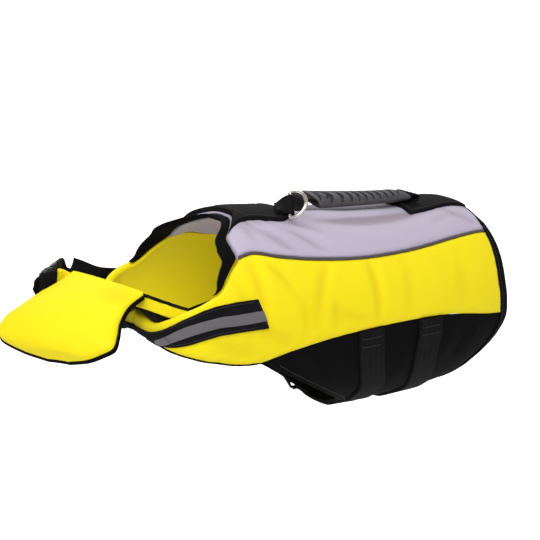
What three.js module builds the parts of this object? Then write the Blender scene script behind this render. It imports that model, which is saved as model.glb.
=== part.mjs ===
// Life jacket for a small dog, worn shape, in millimetres.
// The dog would face -X with its left side at -Y and +Z up.
// The origin is on the spine, on the inner face of the back panel, half way along the back.
import * as THREE from 'three';

// Driving sizes
const SEAM_GAP = 0.3;
const PAD_WALL = 8;
const PAD_EDGE_DROP = 2.6;
const PAD_EDGE_RUN = 13;
const BELLY_WALL = 3;
const BELLY_SINK = 2.6;
const WEBBING = 2.2;
const BELLY_STRAP_HALF = 15.5;
const PIPING_RADIUS = 1.7;
const BINDING_WIDTH = 15;
const MM_PER_DEGREE = 1.65;

// The torso: a row for each section, from the chest back to the loin.
// half = half width, top and low = heights at the spine and the belly, wide = height of the widest point
const TORSO = [
  { x: -214, half: 84, top: 14, wide: -80, low: -170 },
  { x: -150, half: 88, top: 22, wide: -88, low: -182 },
  { x: -90, half: 92, top: 16, wide: -92, low: -188 },
  { x: -30, half: 94.3, top: 6.5, wide: -94, low: -190 },
  { x: 40, half: 94.5, top: -1, wide: -96, low: -196 },
  { x: 100, half: 91.5, top: -3, wide: -97.5, low: -194 },
  { x: 138, half: 87, top: -6.5, wide: -99, low: -180 },
  { x: 158, half: 82.5, top: -18, wide: -100, low: -168 },
];
const FULLNESS = 2.2;
// The chest corner: the wings leave the torso's section at x and turn in to the centre front.
const CHEST = { x: -214, y: 46, turn: 38 };

// Seams and edges on the torso. s runs along the torso and round the chest, phi is the angle
// down from the spine in degrees.
const PIPING_SEAM = [
  { s: -172, phi: 41.5 },
  { s: -158, phi: 40.7 },
  { s: -132, phi: 45.2 },
  { s: -88, phi: 48.2 },
  { s: -40, phi: 48.6 },
  { s: 10, phi: 47 },
  { s: 60, phi: 44.2 },
  { s: 106, phi: 42 },
  { s: 146, phi: 41 },
];
const LOWER_SEAM = [
  { s: -170, phi: 98 },
  { s: -134, phi: 93 },
  { s: -92, phi: 90 },
  { s: -24, phi: 88.5 },
  { s: 42, phi: 89 },
  { s: 88, phi: 91.5 },
  { s: 140, phi: 97 },
];
const NECK_EDGE = [
  { phi: 0, s: -148 },
  { phi: 7, s: -149.5 },
  { phi: 16, s: -160 },
  { phi: 25, s: -172 },
  { phi: 33, s: -174 },
  { phi: 41, s: -174.5 },
  { phi: 47, s: -184 },
  { phi: 52, s: -192 },
  { phi: 59, s: -203 },
  { phi: 64, s: -226 },
];
const REAR_EDGE = [
  { phi: 0, s: 141 },
  { phi: 22, s: 143 },
  { phi: 38, s: 139.5 },
  { phi: 58, s: 137 },
  { phi: 76, s: 136 },
  { phi: 90, s: 139 },
  { phi: 106, s: 140 },
  { phi: 121, s: 130.5 },
  { phi: 140, s: 113 },
  { phi: 160, s: 97 },
  { phi: 200, s: 92 },
];
const BELLY_FRONT = [
  { phi: 97, s: -163 },
  { phi: 105, s: -142 },
  { phi: 112, s: -122 },
  { phi: 124, s: -92 },
  { phi: 138, s: -63 },
  { phi: 151, s: -47 },
  { phi: 166, s: -41 },
  { phi: 200, s: -40 },
];
// The chest wing: a row for each section, from its upper edge to its lower edge, going forward
const WING = [
  { topS: -173, topPhi: 42.5, lowS: -169, lowPhi: 97 },
  { topS: -186, topPhi: 49, lowS: -182, lowPhi: 98 },
  { topS: -203, topPhi: 59.5, lowS: -199, lowPhi: 97.5 },
  { topS: -224, topPhi: 64, lowS: -220, lowPhi: 95 },
  { topS: -246, topPhi: 68.5, lowS: -244, lowPhi: 91.5 },
  { topS: -270, topPhi: 75, lowS: -269, lowPhi: 89.5 },
  { topS: -292, topPhi: 79.5, lowS: -292, lowPhi: 89 },
  { topS: -319.4, topPhi: 76, lowS: -319.4, lowPhi: 87.5 },
];
// The reflective strip on the wing: angles of its upper and lower edge
const STRIP = [
  { s: -319.3, top: 84, low: 87.2 },
  { s: -302, top: 84.5, low: 88 },
  { s: -286, top: 83.5, low: 88.6 },
  { s: -268, top: 79.5, low: 88.6 },
  { s: -246, top: 72.5, low: 86.5 },
  { s: -226, top: 68, low: 83.6 },
  { s: -202, top: 66.5, low: 82.4 },
  { s: -160, top: 67, low: 81.6 },
];
const TAPE = [
  { s: -279, top: 86.6, low: 88.4 },
  { s: -266, top: 83.4, low: 87.6 },
  { s: -250, top: 78, low: 83.6 },
  { s: -234, top: 74.6, low: 80.2 },
  { s: -216, top: 73, low: 78.6 },
  { s: -190, top: 73, low: 78.6 },
  { s: -161, top: 72.8, low: 78 },
];
// Soft folds on the left side; the right side has the same ones, shifted.
// turn = direction of the fold in degrees, long and wide in millimetres, out = height, troughs below zero
const FOLDS = [
  { s: -150, phi: 60, turn: -38, long: 34, wide: 7, out: -2.2 },
  { s: -134, phi: 67, turn: -42, long: 40, wide: 8, out: 1.6 },
  { s: -118, phi: 62, turn: -30, long: 28, wide: 7, out: -1.5 },
  { s: -178, phi: 74, turn: 62, long: 26, wide: 8, out: -1.4 },
  { s: -20, phi: 74, turn: 84, long: 30, wide: 9, out: -1.8 },
  { s: 0, phi: 78, turn: 88, long: 24, wide: 8, out: 1.2 },
  { s: -62, phi: 82, turn: 18, long: 44, wide: 8, out: -1.3 },
  { s: 60, phi: 62, turn: 8, long: 52, wide: 11, out: 1.4 },
  { s: 96, phi: 80, turn: 24, long: 34, wide: 9, out: -1.3 },
  { s: -118, phi: 24, turn: 52, long: 16, wide: 6, out: -2 },
  { s: -102, phi: 27, turn: 46, long: 22, wide: 6, out: 1.6 },
  { s: -84, phi: 25, turn: 40, long: 20, wide: 6, out: -1.6 },
  { s: 18, phi: 26, turn: 6, long: 60, wide: 12, out: -1.8 },
  { s: 112, phi: 22, turn: 66, long: 16, wide: 6, out: -1.4 },
  { s: -248, phi: 82, turn: 70, long: 14, wide: 8, out: -1.2 },
];
const FOLD_SHIFT = { s: 11, phi: 4, out: 0.85 };

const YELLOW = { color: 0xfbe91f, roughness: 0.72, metalness: 0 };
const GREY = { color: 0xbdb3c6, roughness: 0.75, metalness: 0 };
const BLACK = { color: 0x17171b, roughness: 0.7, metalness: 0 };
const RUBBER = { color: 0x303032, roughness: 0.5, metalness: 0 };
const PIPING_GREY = { color: 0x47404a, roughness: 0.6, metalness: 0 };
const REFLECTIVE = { color: 0x66626a, roughness: 0.35, metalness: 0.1 };
const PLASTIC = { color: 0x101012, roughness: 0.4, metalness: 0 };
const NICKEL = { color: 0xc9c4bd, roughness: 0.22, metalness: 1 };

const radians = THREE.MathUtils.degToRad;
const mix = THREE.MathUtils.lerp;
const ease = THREE.MathUtils.smoothstep;

// A smooth value of one column of a table, read along another column that rises.
function read(table, along, at, column) {
  const last = table.length - 1;
  const x = THREE.MathUtils.clamp(at, table[0][along], table[last][along]);
  let i = 0;
  while (i < last - 1 && table[i + 1][along] < x) i += 1;
  const slope = (k) => {
    const before = table[Math.max(k - 1, 0)];
    const after = table[Math.min(k + 1, last)];
    return (after[column] - before[column]) / (after[along] - before[along]);
  };
  const span = table[i + 1][along] - table[i][along];
  const t = (x - table[i][along]) / span;
  const start = table[i][column];
  const rise = table[i + 1][column] - start;
  const bend = t * (1 - t) * ((1 - t) * (slope(i) * span - rise) - t * (slope(i + 1) * span - rise));
  return start + rise * t + bend;
}

const power = (value) => Math.sign(value) * Math.abs(value) ** (2 / FULLNESS);

// A point of the outer surface. side is -1 on the dog's left and 1 on its right.
function form(s, phi, side) {
  const x = Math.max(s, CHEST.x);
  const half = read(TORSO, 'x', x, 'half');
  const top = read(TORSO, 'x', x, 'top');
  const wide = read(TORSO, 'x', x, 'wide');
  const low = read(TORSO, 'x', x, 'low');
  const c = Math.cos(radians(phi));
  const out = half * power(Math.sin(radians(phi)));
  const z = wide + power(c) * (c > 0 ? top - wide : wide - low);
  if (s >= CHEST.x) return new THREE.Vector3(x, side * out, z);
  const turned = (CHEST.x - s) / CHEST.turn;
  const reach = out - CHEST.y;
  if (turned <= Math.PI / 2) {
    const y = CHEST.y + reach * Math.cos(turned);
    return new THREE.Vector3(CHEST.x - reach * Math.sin(turned), side * y, z);
  }
  return new THREE.Vector3(CHEST.x - reach, side * (CHEST.y - (turned - Math.PI / 2) * CHEST.turn), z);
}

function outward(s, phi, side) {
  const step = 0.6;
  const along = form(s + step, phi, side).sub(form(s - step, phi, side));
  const down = form(s, phi + step, side).sub(form(s, phi - step, side));
  return down.cross(along).multiplyScalar(-side).normalize();
}

function foldHeight(s, phi, side) {
  const shift = side < 0 ? { s: 0, phi: 0, out: 1 } : FOLD_SHIFT;
  let height = 0;
  for (const fold of FOLDS) {
    const along = s - fold.s - shift.s;
    const down = (phi - fold.phi - shift.phi) * MM_PER_DEGREE;
    const turn = radians(fold.turn);
    const length = (along * Math.cos(turn) + down * Math.sin(turn)) / fold.long;
    const width = (down * Math.cos(turn) - along * Math.sin(turn)) / fold.wide;
    height += fold.out * shift.out * Math.exp(-(length ** 2) - width ** 2);
  }
  return height;
}

// A point moved out from the plain form, and one moved out from the folded cloth.
const plain = (s, phi, side, lift) => form(s, phi, side).addScaledVector(outward(s, phi, side), lift);
const folded = (s, phi, side) => (phi < 0 ? foldHeight(s, -phi, -side) : foldHeight(s, phi, side));
const skin = (s, phi, side, lift) => plain(s, phi, side, lift + folded(s, phi, side));
// A padded panel's outer face sinks towards its seams, and its folds fade there.
const padded = (s, phi, side, sink) => (
  plain(s, phi, side, folded(s, phi, side) * (1 - sink / PAD_EDGE_DROP) - sink)
);

// A closed body from points and triangles, turned to face out.
function closedBody(points, triangles) {
  let volume = 0;
  for (const [a, b, c] of triangles) {
    volume += points[a].dot(points[b].clone().cross(points[c]));
  }
  const order = volume < 0 ? ([a, b, c]) => [a, c, b] : (t) => t;
  const geometry = new THREE.BufferGeometry();
  const flat = points.flatMap((p) => [p.x, p.y, p.z]);
  geometry.setAttribute('position', new THREE.Float32BufferAttribute(flat, 3));
  geometry.setIndex(triangles.flatMap(order));
  return geometry;
}

// A wall between two surfaces that are functions of u and v from 0 to 1.
function wall(outer, inner, columns, rows) {
  const points = [];
  const easeIn = (t) => mix(t, 0.5 - 0.5 * Math.cos(Math.PI * t), 0.45);
  for (const surface of [outer, inner]) {
    for (let i = 0; i <= columns; i += 1) {
      for (let j = 0; j <= rows; j += 1) points.push(surface(easeIn(i / columns), easeIn(j / rows)));
    }
  }
  const at = (layer, i, j) => (layer * (columns + 1) + i) * (rows + 1) + j;
  const triangles = [];
  const quad = (a, b, c, d) => triangles.push([a, b, c], [a, c, d]);
  for (let i = 0; i < columns; i += 1) {
    for (let j = 0; j < rows; j += 1) {
      quad(at(0, i, j), at(0, i + 1, j), at(0, i + 1, j + 1), at(0, i, j + 1));
      quad(at(1, i, j), at(1, i, j + 1), at(1, i + 1, j + 1), at(1, i + 1, j));
    }
    quad(at(0, i, 0), at(1, i, 0), at(1, i + 1, 0), at(0, i + 1, 0));
    quad(at(0, i, rows), at(0, i + 1, rows), at(1, i + 1, rows), at(1, i, rows));
  }
  for (let j = 0; j < rows; j += 1) {
    quad(at(0, 0, j), at(0, 0, j + 1), at(1, 0, j + 1), at(1, 0, j));
    quad(at(0, columns, j), at(1, columns, j), at(1, columns, j + 1), at(0, columns, j + 1));
  }
  return closedBody(points, triangles);
}

// A body through rings of points; looped joins the last ring to the first.
function loft(rings, looped = false) {
  const count = rings[0].length;
  const points = rings.flat();
  const triangles = [];
  const spans = looped ? rings.length : rings.length - 1;
  for (let i = 0; i < spans; i += 1) {
    const next = (i + 1) % rings.length;
    for (let j = 0; j < count; j += 1) {
      const k = (j + 1) % count;
      const [a, b, c, d] = [i * count + j, next * count + j, next * count + k, i * count + k];
      triangles.push([a, b, c], [a, c, d]);
    }
  }
  if (!looped) {
    const end = (rings.length - 1) * count;
    for (let j = 1; j < count - 1; j += 1) {
      triangles.push([0, j, j + 1], [end, end + j + 1, end + j]);
    }
  }
  return closedBody(points, triangles);
}

const vector = (x, y, z) => new THREE.Vector3(x, y, z);

// A flat band: stations hold its centre line, the direction across it and its half width.
function band(stations, thickness) {
  const last = stations.length - 1;
  const rings = stations.map(({ at, across, half }, i) => {
    const along = stations[Math.min(i + 1, last)].at.clone().sub(stations[Math.max(i - 1, 0)].at);
    const normal = along.cross(across).normalize().multiplyScalar(thickness / 2);
    const side = across.clone().multiplyScalar(half);
    const corner = (a, b) => at.clone().addScaledVector(side, a).addScaledVector(normal, b);
    return [corner(1, 1), corner(-1, 1), corner(-1, -1), corner(1, -1)];
  });
  return loft(rings);
}

// A round cord: stations hold its centre and two directions of its section.
function cord(stations, radius, sides, looped = false) {
  const rings = stations.map(({ at, first, second }) => Array.from({ length: sides }, (_, k) => {
    const turn = (2 * Math.PI * k) / sides;
    return at.clone().addScaledVector(first, radius * Math.cos(turn))
      .addScaledVector(second, radius * Math.sin(turn));
  }));
  return loft(rings, looped);
}

const steps = (count) => Array.from({ length: count + 1 }, (_, i) => i / count);

const jacket = new THREE.Group();
// The origin is the inner face of the back panel at x = 0.
jacket.position.z = PAD_WALL - read(TORSO, 'x', 0, 'top');
function add(name, geometry, look) {
  const mesh = new THREE.Mesh(geometry, new THREE.MeshStandardMaterial(look));
  mesh.name = name;
  jacket.add(mesh);
  return mesh;
}

// Degrees left for the cord on each side of its seam
const PIPING_ROOM = 1.35;
const pipingAngle = (s) => read(PIPING_SEAM, 's', s, 'phi');
const lowerAngle = (s) => read(LOWER_SEAM, 's', s, 'phi');
const rearEdge = (phi) => read(REAR_EDGE, 'phi', Math.abs(phi), 's');
const neckEdge = (phi) => read(NECK_EDGE, 'phi', Math.abs(phi), 's');

// How far a padded panel sinks near its edges; the distances to its nearest edges in millimetres.
function edgeSink(...distances) {
  return distances.reduce((sink, d) => Math.max(sink, 1 - ease(d, 0, PAD_EDGE_RUN)), 0) * PAD_EDGE_DROP;
}

// Back panel: grey padded cloth across the spine, from the neck to the loin.
// HALF_BACK = its half width in degrees, about
const HALF_BACK = 45;
function backPanel() {
  const place = (u, v) => {
    const across = 2 * v - 1;
    let phi = across * HALF_BACK;
    let s = mix(neckEdge(phi), rearEdge(phi), u);
    phi = across * (pipingAngle(s) - PIPING_ROOM);
    s = mix(neckEdge(phi), rearEdge(phi), u);
    return [s, phi];
  };
  const outer = (u, v) => {
    const [s, phi] = place(u, v);
    const length = rearEdge(phi) - neckEdge(phi);
    const width = 2 * HALF_BACK * MM_PER_DEGREE;
    const sink = edgeSink(u * length, (1 - u) * length, v * width, (1 - v) * width);
    return padded(s, phi, -1, sink);
  };
  const inner = (u, v) => plain(...place(u, v), -1, -PAD_WALL);
  return wall(outer, inner, 26, 14);
}
add('back_panel', backPanel(), GREY);

// Side panels: yellow padded cloth, each with a wing that turns in across the chest
const LOWER_ROOM = SEAM_GAP / MM_PER_DEGREE;
const BODY_STATIONS = [136, 104, 70, 36, 2, -32, -66, -98, -126, -152];
const SIDE_LENGTH = 440;
const REAR_FADE = 90;
const SIDE_SECTIONS = BODY_STATIONS.map((s) => ({
  topS: s, topPhi: pipingAngle(s) + PIPING_ROOM, lowS: s, lowPhi: lowerAngle(s) - LOWER_ROOM,
})).concat(WING).map((section, i) => ({ ...section, at: i }));

function sidePanel(side) {
  const last = SIDE_SECTIONS.length - 1;
  const start = BODY_STATIONS[0];
  const place = (u, v) => {
    const column = (name) => read(SIDE_SECTIONS, 'at', u * last, name);
    let phi = mix(column('topPhi'), column('lowPhi'), v);
    let s = mix(column('topS'), column('lowS'), v);
    const fade = 1 - ease(start - s, 0, REAR_FADE);
    s += (rearEdge(phi) - SEAM_GAP - start) * fade;
    if (fade > 0) phi = mix(pipingAngle(s) + PIPING_ROOM, lowerAngle(s) - LOWER_ROOM, v);
    return [s, phi];
  };
  const outer = (u, v) => {
    const [s, phi] = place(u, v);
    const width = (place(u, 1)[1] - place(u, 0)[1]) * MM_PER_DEGREE;
    const sink = edgeSink(u * SIDE_LENGTH, (1 - u) * SIDE_LENGTH, v * width, (1 - v) * width);
    return padded(s, phi, side, sink);
  };
  const inner = (u, v) => plain(...place(u, v), side, -PAD_WALL);
  return wall(outer, inner, 34, 9);
}

// Belly panels: black thin cloth; the left one laps over the right one under the belly
const BELLY_END = { '-1': 188, 1: 176 };
const LAP = { from: 158, to: 172, lift: BELLY_WALL + SEAM_GAP };
const bellyLift = (phi, side) => (side < 0 ? ease(phi, LAP.from, LAP.to) * LAP.lift : 0) - BELLY_SINK;
function bellyPanel(side) {
  const place = (u, v) => {
    let phi = mix(90, BELLY_END[side], v);
    let s = 0;
    for (let pass = 0; pass < 4; pass += 1) {
      s = mix(rearEdge(phi) - SEAM_GAP, read(BELLY_FRONT, 'phi', phi, 's'), u);
      phi = mix(lowerAngle(s) + SEAM_GAP / MM_PER_DEGREE, BELLY_END[side], v);
    }
    return [s, phi];
  };
  const at = (u, v, depth) => {
    const [s, phi] = place(u, v);
    return plain(s, phi, side, bellyLift(phi, side) - depth);
  };
  return wall((u, v) => at(u, v, 0), (u, v) => at(u, v, BELLY_WALL), 14, 11);
}

// Piping: a round cord in the seam between the back panel and the side panel
function piping(side) {
  const stations = steps(30).map((t) => {
    const s = mix(-173, 138.2, t);
    const phi = pipingAngle(s);
    const first = outward(s, phi, side);
    const down = form(s, phi + 1, side).sub(form(s, phi - 1, side)).normalize();
    return { at: plain(s, phi, side, -PIPING_RADIUS), first, second: down };
  });
  return cord(stations, PIPING_RADIUS - 0.15, 6);
}

// Webbing strip with a reflective tape on the wing
const STRIP_LIFT = 0.9;
function stripWall(table, side, lift, thickness, columns) {
  const at = (u, v, out) => {
    const s = mix(table[0].s, table[table.length - 1].s, u);
    const phi = mix(read(table, 's', s, 'top'), read(table, 's', s, 'low'), v);
    return skin(s, phi, side, lift + out);
  };
  return wall((u, v) => at(u, v, thickness), (u, v) => at(u, v, 0), columns, 2);
}

// Belly straps: the left ones run under the belly to the buckles on the right side.
// s = centre of the strap at each angle from the spine on the left
const BELLY_STRAPS = {
  front: [
    { phi: 88, s: -42.5 },
    { phi: 100, s: -40 },
    { phi: 112, s: -35 },
    { phi: 131, s: -24 },
    { phi: 272, s: -20 },
  ],
  rear: [
    { phi: 88, s: 34 },
    { phi: 98, s: 34 },
    { phi: 111, s: 34 },
    { phi: 126, s: 39 },
    { phi: 142, s: 46 },
    { phi: 272, s: 44 },
  ],
};
// phi = the buckle's place, lift = its middle over the belly panel, span = its half length in
// degrees, rise = degrees over which a strap leaves the cloth for the buckle
const BELLY_BUCKLE = { width: 36, length: 60, phi: 142, lift: 4.6, span: 17.5, rise: 12 };
// A belly buckle's middle, the way down the strap and the way out of the cloth
function bellyBuckle(table) {
  const { phi, lift } = BELLY_BUCKLE;
  const s = read(table, 'phi', 360 - phi, 's');
  return {
    at: plain(s, phi, 1, lift - BELLY_SINK),
    down: form(s, phi + 1, 1).sub(form(s, phi - 1, 1)).normalize(),
    back: outward(s, phi, 1),
  };
}
const STRAP_LIFT = 0.55;
function bellyStrap(table, side) {
  const { at: middle, down, back } = bellyBuckle(table);
  const reach = side * -(BELLY_BUCKLE.length / 2 + SEAM_GAP);
  const start = middle.clone().addScaledVector(down, reach);
  const buckleEnd = (side < 0 ? 360 : 0) - side * -BELLY_BUCKLE.phi - BELLY_BUCKLE.span;
  const at = (u, v, out) => {
    const across = (2 * v - 1) * BELLY_STRAP_HALF;
    const phi = mix(lowerAngle(table[0].s + across) + 0.5, buckleEnd, u);
    const seen = side < 0 ? phi : 360 - phi;
    const s = read(table, 'phi', seen, 's') + across;
    const lap = side < 0 ? (ease(phi, LAP.from, LAP.to) - ease(phi, 188.5, 194)) * LAP.lift : 0;
    const laid = plain(s, phi, side, lap - BELLY_SINK + STRAP_LIFT + out);
    const threaded = start.clone().addScaledVector(back, out - WEBBING / 2);
    threaded.x += across;
    return laid.lerp(threaded, ease(phi, buckleEnd - BELLY_BUCKLE.rise, buckleEnd));
  };
  return wall((u, v) => at(u, v, WEBBING), (u, v) => at(u, v, 0), side < 0 ? 22 : 8, 2);
}

// Side release buckle halves, lying flat with the strap along X, centred on the joint between
// them. A row for each section; half and thick are shares of the buckle's half width and depth.
const BUCKLE_DEPTH = 8;
const BUCKLE_FORMS = {
  female: [
    { x: 0.01, half: 0.84, thick: 0.9 },
    { x: 0.14, half: 0.9, thick: 1 },
    { x: 0.5, half: 0.98, thick: 1 },
    { x: 0.86, half: 1, thick: 0.8 },
    { x: 1, half: 0.94, thick: 0.5 },
  ],
  male: [
    { x: 0.01, half: 0.9, thick: 0.8 },
    { x: 0.2, half: 0.97, thick: 0.75 },
    { x: 0.55, half: 1, thick: 0.66 },
    { x: 0.86, half: 1, thick: 0.66 },
    { x: 1, half: 0.92, thick: 0.5 },
  ],
};
function buckleHalf(kind, width, length) {
  const sign = kind === 'female' ? -1 : 1;
  return loft(BUCKLE_FORMS[kind].map((row) => Array.from({ length: 12 }, (_, k) => {
    const turn = (2 * Math.PI * (k + 0.5)) / 12;
    const [c, w] = [Math.cos(turn), Math.sin(turn)];
    const y = Math.sign(c) * Math.abs(c) ** 0.35 * (width / 2) * row.half;
    const z = Math.sign(w) * Math.abs(w) ** 0.5 * (BUCKLE_DEPTH / 2) * row.thick;
    return vector(sign * row.x * (length / 2), y, z);
  })));
}
function addBuckle(name, width, length, matrix) {
  for (const kind of ['female', 'male']) {
    const geometry = buckleHalf(kind, width, length);
    geometry.applyMatrix4(matrix);
    add(`${name}_${kind}`, geometry, PLASTIC);
  }
}
for (const [label, side] of [['left', -1], ['right', 1]]) {
  add(`side_panel_${label}`, sidePanel(side), YELLOW);
  add(`belly_panel_${label}`, bellyPanel(side), BLACK);
  add(`piping_${label}`, piping(side), PIPING_GREY);
  add(`chest_strip_${label}`, stripWall(STRIP, side, STRIP_LIFT, 1.6, 22), BLACK);
  add(`reflective_tape_${label}`, stripWall(TAPE, side, STRIP_LIFT + 1.6 + SEAM_GAP, 1, 20), REFLECTIVE);
  for (const [place, table] of Object.entries(BELLY_STRAPS)) {
    add(`belly_strap_${place}_${label}`, bellyStrap(table, side), BLACK);
  }
}
// Places a buckle's middle at a point, its length along one direction and its back to another.
function placed(at, along, back) {
  const third = back.clone().cross(along).normalize();
  return new THREE.Matrix4().makeBasis(along, third, along.clone().cross(third)).setPosition(at);
}
for (const [place, table] of Object.entries(BELLY_STRAPS)) {
  const { at, down, back } = bellyBuckle(table);
  addBuckle(`belly_buckle_${place}`, BELLY_BUCKLE.width, BELLY_BUCKLE.length, placed(at, down, back));
}

// Neck collar: a black stretch band that stands forward of the neck edge.
// width = how far it stands forward, flare = how far its front edge lifts
const COLLAR = [
  { phi: 0, width: 12, flare: 1.5 },
  { phi: 16, width: 10, flare: 2.5 },
  { phi: 30, width: 14.5, flare: 5 },
  { phi: 37, width: 17.5, flare: 5.5 },
  { phi: 44, width: 15, flare: 4.5 },
  { phi: 52, width: 10, flare: 2.5 },
  { phi: 60, width: 3, flare: 0.5 },
];
const COLLAR_WALL = 4;
function collar() {
  const at = (u, v, depth) => {
    const phi = mix(-60, 60, u);
    const width = read(COLLAR, 'phi', Math.abs(phi), 'width');
    const flare = read(COLLAR, 'phi', Math.abs(phi), 'flare');
    const s = neckEdge(phi) - 4 * SEAM_GAP - v * width;
    return plain(s, phi, -1, -PAD_EDGE_DROP + flare * v ** 1.4 - depth);
  };
  return wall((u, v) => at(u, v, 0), (u, v) => at(u, v, COLLAR_WALL), 28, 2);
}
add('neck_collar', collar(), BLACK);

// Rear binding: a black band with a round outer edge, all round the loin
function rearBinding() {
  const rings = steps(44).map((t) => {
    const phi = mix(-BELLY_END[1], BELLY_END[-1], t);
    const side = phi < 0 ? 1 : -1;
    const angle = Math.abs(phi);
    const lap = bellyLift(phi, -1) + BELLY_SINK;
    const thin = ease(angle, 84, 104);
    const top = mix(-0.6, BELLY_WALL - 4, thin) + lap;
    const low = mix(-PAD_WALL, -BELLY_SINK - BELLY_WALL, thin) + lap;
    const width = BINDING_WIDTH * (1 - 0.3 * ease(angle, 120, 165));
    const start = rearEdge(angle) + SEAM_GAP;
    const profile = [
      [0, top - 0.8], [0.25, top], [0.72, top - 0.5], [0.96, mix(top, low, 0.32)],
      [0.96, mix(top, low, 0.72)], [0.7, low], [0, low],
    ];
    return profile.map(([along, lift]) => plain(start + along * width, angle, side, lift));
  });
  return loft(rings);
}
add('rear_binding', rearBinding(), BLACK);

// Spine webbing: two layers of wide webbing on the back panel, before and behind the handle.
// half = its half width along the back; it spreads towards the neck and under the handle
const SPINE_FRONT = [
  { s: -173, half: 40 },
  { s: -158, half: 31 },
  { s: -144, half: 27.5 },
  { s: -128, half: 29 },
  { s: -106, half: 33 },
  { s: -88, half: 26 },
];
const SPINE_REAR = [
  { s: 62, half: 29 },
  { s: 88, half: 28.5 },
  { s: 104, half: 25.5 },
  { s: 118, half: 25 },
  { s: 146, half: 27 },
];
const WEB_INSET = 0.5;
function spineWebbing(table, thickness) {
  const from = table[0].s;
  const to = table[table.length - 1].s;
  const across = (s, v) => {
    const half = Math.abs(2 * v - 1) * read(table, 's', s, 'half');
    const share = half / read(TORSO, 'x', s, 'half');
    return Math.sign(2 * v - 1) * THREE.MathUtils.radToDeg(Math.asin(share ** (FULLNESS / 2)));
  };
  const at = (u, v, out) => {
    let s = mix(from, to, u);
    const phi = across(s, v);
    s = mix(Math.max(from, neckEdge(phi) + WEB_INSET), Math.min(to, rearEdge(phi) - WEB_INSET), u);
    return skin(s, across(s, v), -1, 2 * SEAM_GAP + out);
  };
  return wall((u, v) => at(u, v, thickness), (u, v) => at(u, v, 0), 10, 6);
}
const SPINE_THICK = { front: 3.4, rear: 2.8 };
add('spine_webbing_front', spineWebbing(SPINE_FRONT, SPINE_THICK.front), BLACK);
add('spine_webbing_rear', spineWebbing(SPINE_REAR, SPINE_THICK.rear), BLACK);

// D-ring: a bar and a bow of round wire, swinging about the bar in a loop of webbing.
// The ring leans over to the left, with the bar's left end low and the bow to the rear.
const RING = { bar: 14, bow: 16.5, wire: 1.9, corner: 3 };
const RING_AT = vector(-93.4, -30.6, 26);
const BAR = vector(0.438, 0.581, 0.686).normalize();
const RING_NORMAL = vector(-0.701, -0.258, 0.666).projectOnPlane(BAR).normalize();
const RING_FLAT = BAR.clone().cross(RING_NORMAL);
function dRing() {
  const outline = [];
  for (const t of steps(20)) {
    const turn = mix(-Math.PI / 2, Math.PI / 2, t);
    const out = Math.cos(turn) * (RING.bow - RING.corner) + RING.corner;
    outline.push([out, Math.sin(turn) * RING.bar]);
  }
  for (const y of [1, 0.82, 0.4, 0, -0.4, -0.82, -1]) {
    outline.push([Math.abs(y) === 1 ? 0.9 : 0, y * (RING.bar - (Math.abs(y) === 1 ? 0.9 : 0))]);
  }
  const points = outline.map(([a, b]) => RING_AT.clone().addScaledVector(RING_FLAT, a)
    .addScaledVector(BAR, b));
  const count = points.length;
  const stations = points.map((at, i) => {
    const along = points[(i + 1) % count].clone().sub(points[(i + count - 1) % count]).normalize();
    return { at, first: RING_NORMAL, second: along.cross(RING_NORMAL) };
  });
  return cord(stations, RING.wire, 8, true);
}
add('d_ring', dRing(), NICKEL);

// Ring loop: webbing folded round the bar, both ends sewn to the spine webbing.
// wrap = degrees round the bar each way, reach = length of the sewn ends' flat part, knee = its rise
const LOOP = { half: 10, inside: RING.wire + 0.7, thick: 1.8, wrap: 100, reach: 4, knee: 0.8 };
// The lower sewn end: its middle and the way across it
const LOOP_END = { at: vector(-101, -18, 21.1), across: vector(0.45, 0.88, 0.12) };
const backTop = (x) => read(TORSO, 'x', x, 'top');
function ringLoop() {
  const radius = LOOP.inside + LOOP.thick / 2;
  const round = (degrees) => RING_AT.clone()
    .addScaledVector(RING_FLAT, radius * Math.cos(radians(degrees)))
    .addScaledVector(RING_NORMAL, radius * Math.sin(radians(degrees)));
  // The tails leave the bar and turn flat on the spine webbing.
  const tail = (from, lift, t) => {
    const foot = LOOP_END.at.clone();
    foot.z += lift;
    const knee = foot.clone().addScaledVector(RING_FLAT, LOOP.reach);
    knee.z = foot.z + LOOP.knee;
    const at = from.clone().lerp(knee, t).lerp(knee.clone().lerp(foot, t), t);
    const across = BAR.clone().lerp(LOOP_END.across, ease(t, 0, 0.8)).normalize();
    return { at, across, half: LOOP.half };
  };
  const upper = steps(6).map((t) => tail(round(LOOP.wrap), LOOP.thick + SEAM_GAP, 1 - t));
  const turns = steps(8).slice(1, -1).map((t) => (
    { at: round(mix(LOOP.wrap, -LOOP.wrap, t)), across: BAR, half: LOOP.half }
  ));
  const lower = steps(6).map((t) => tail(round(-LOOP.wrap), 0, t));
  return band([...upper, ...turns, ...lower], LOOP.thick);
}
add('ring_loop', ringLoop(), BLACK);

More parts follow.
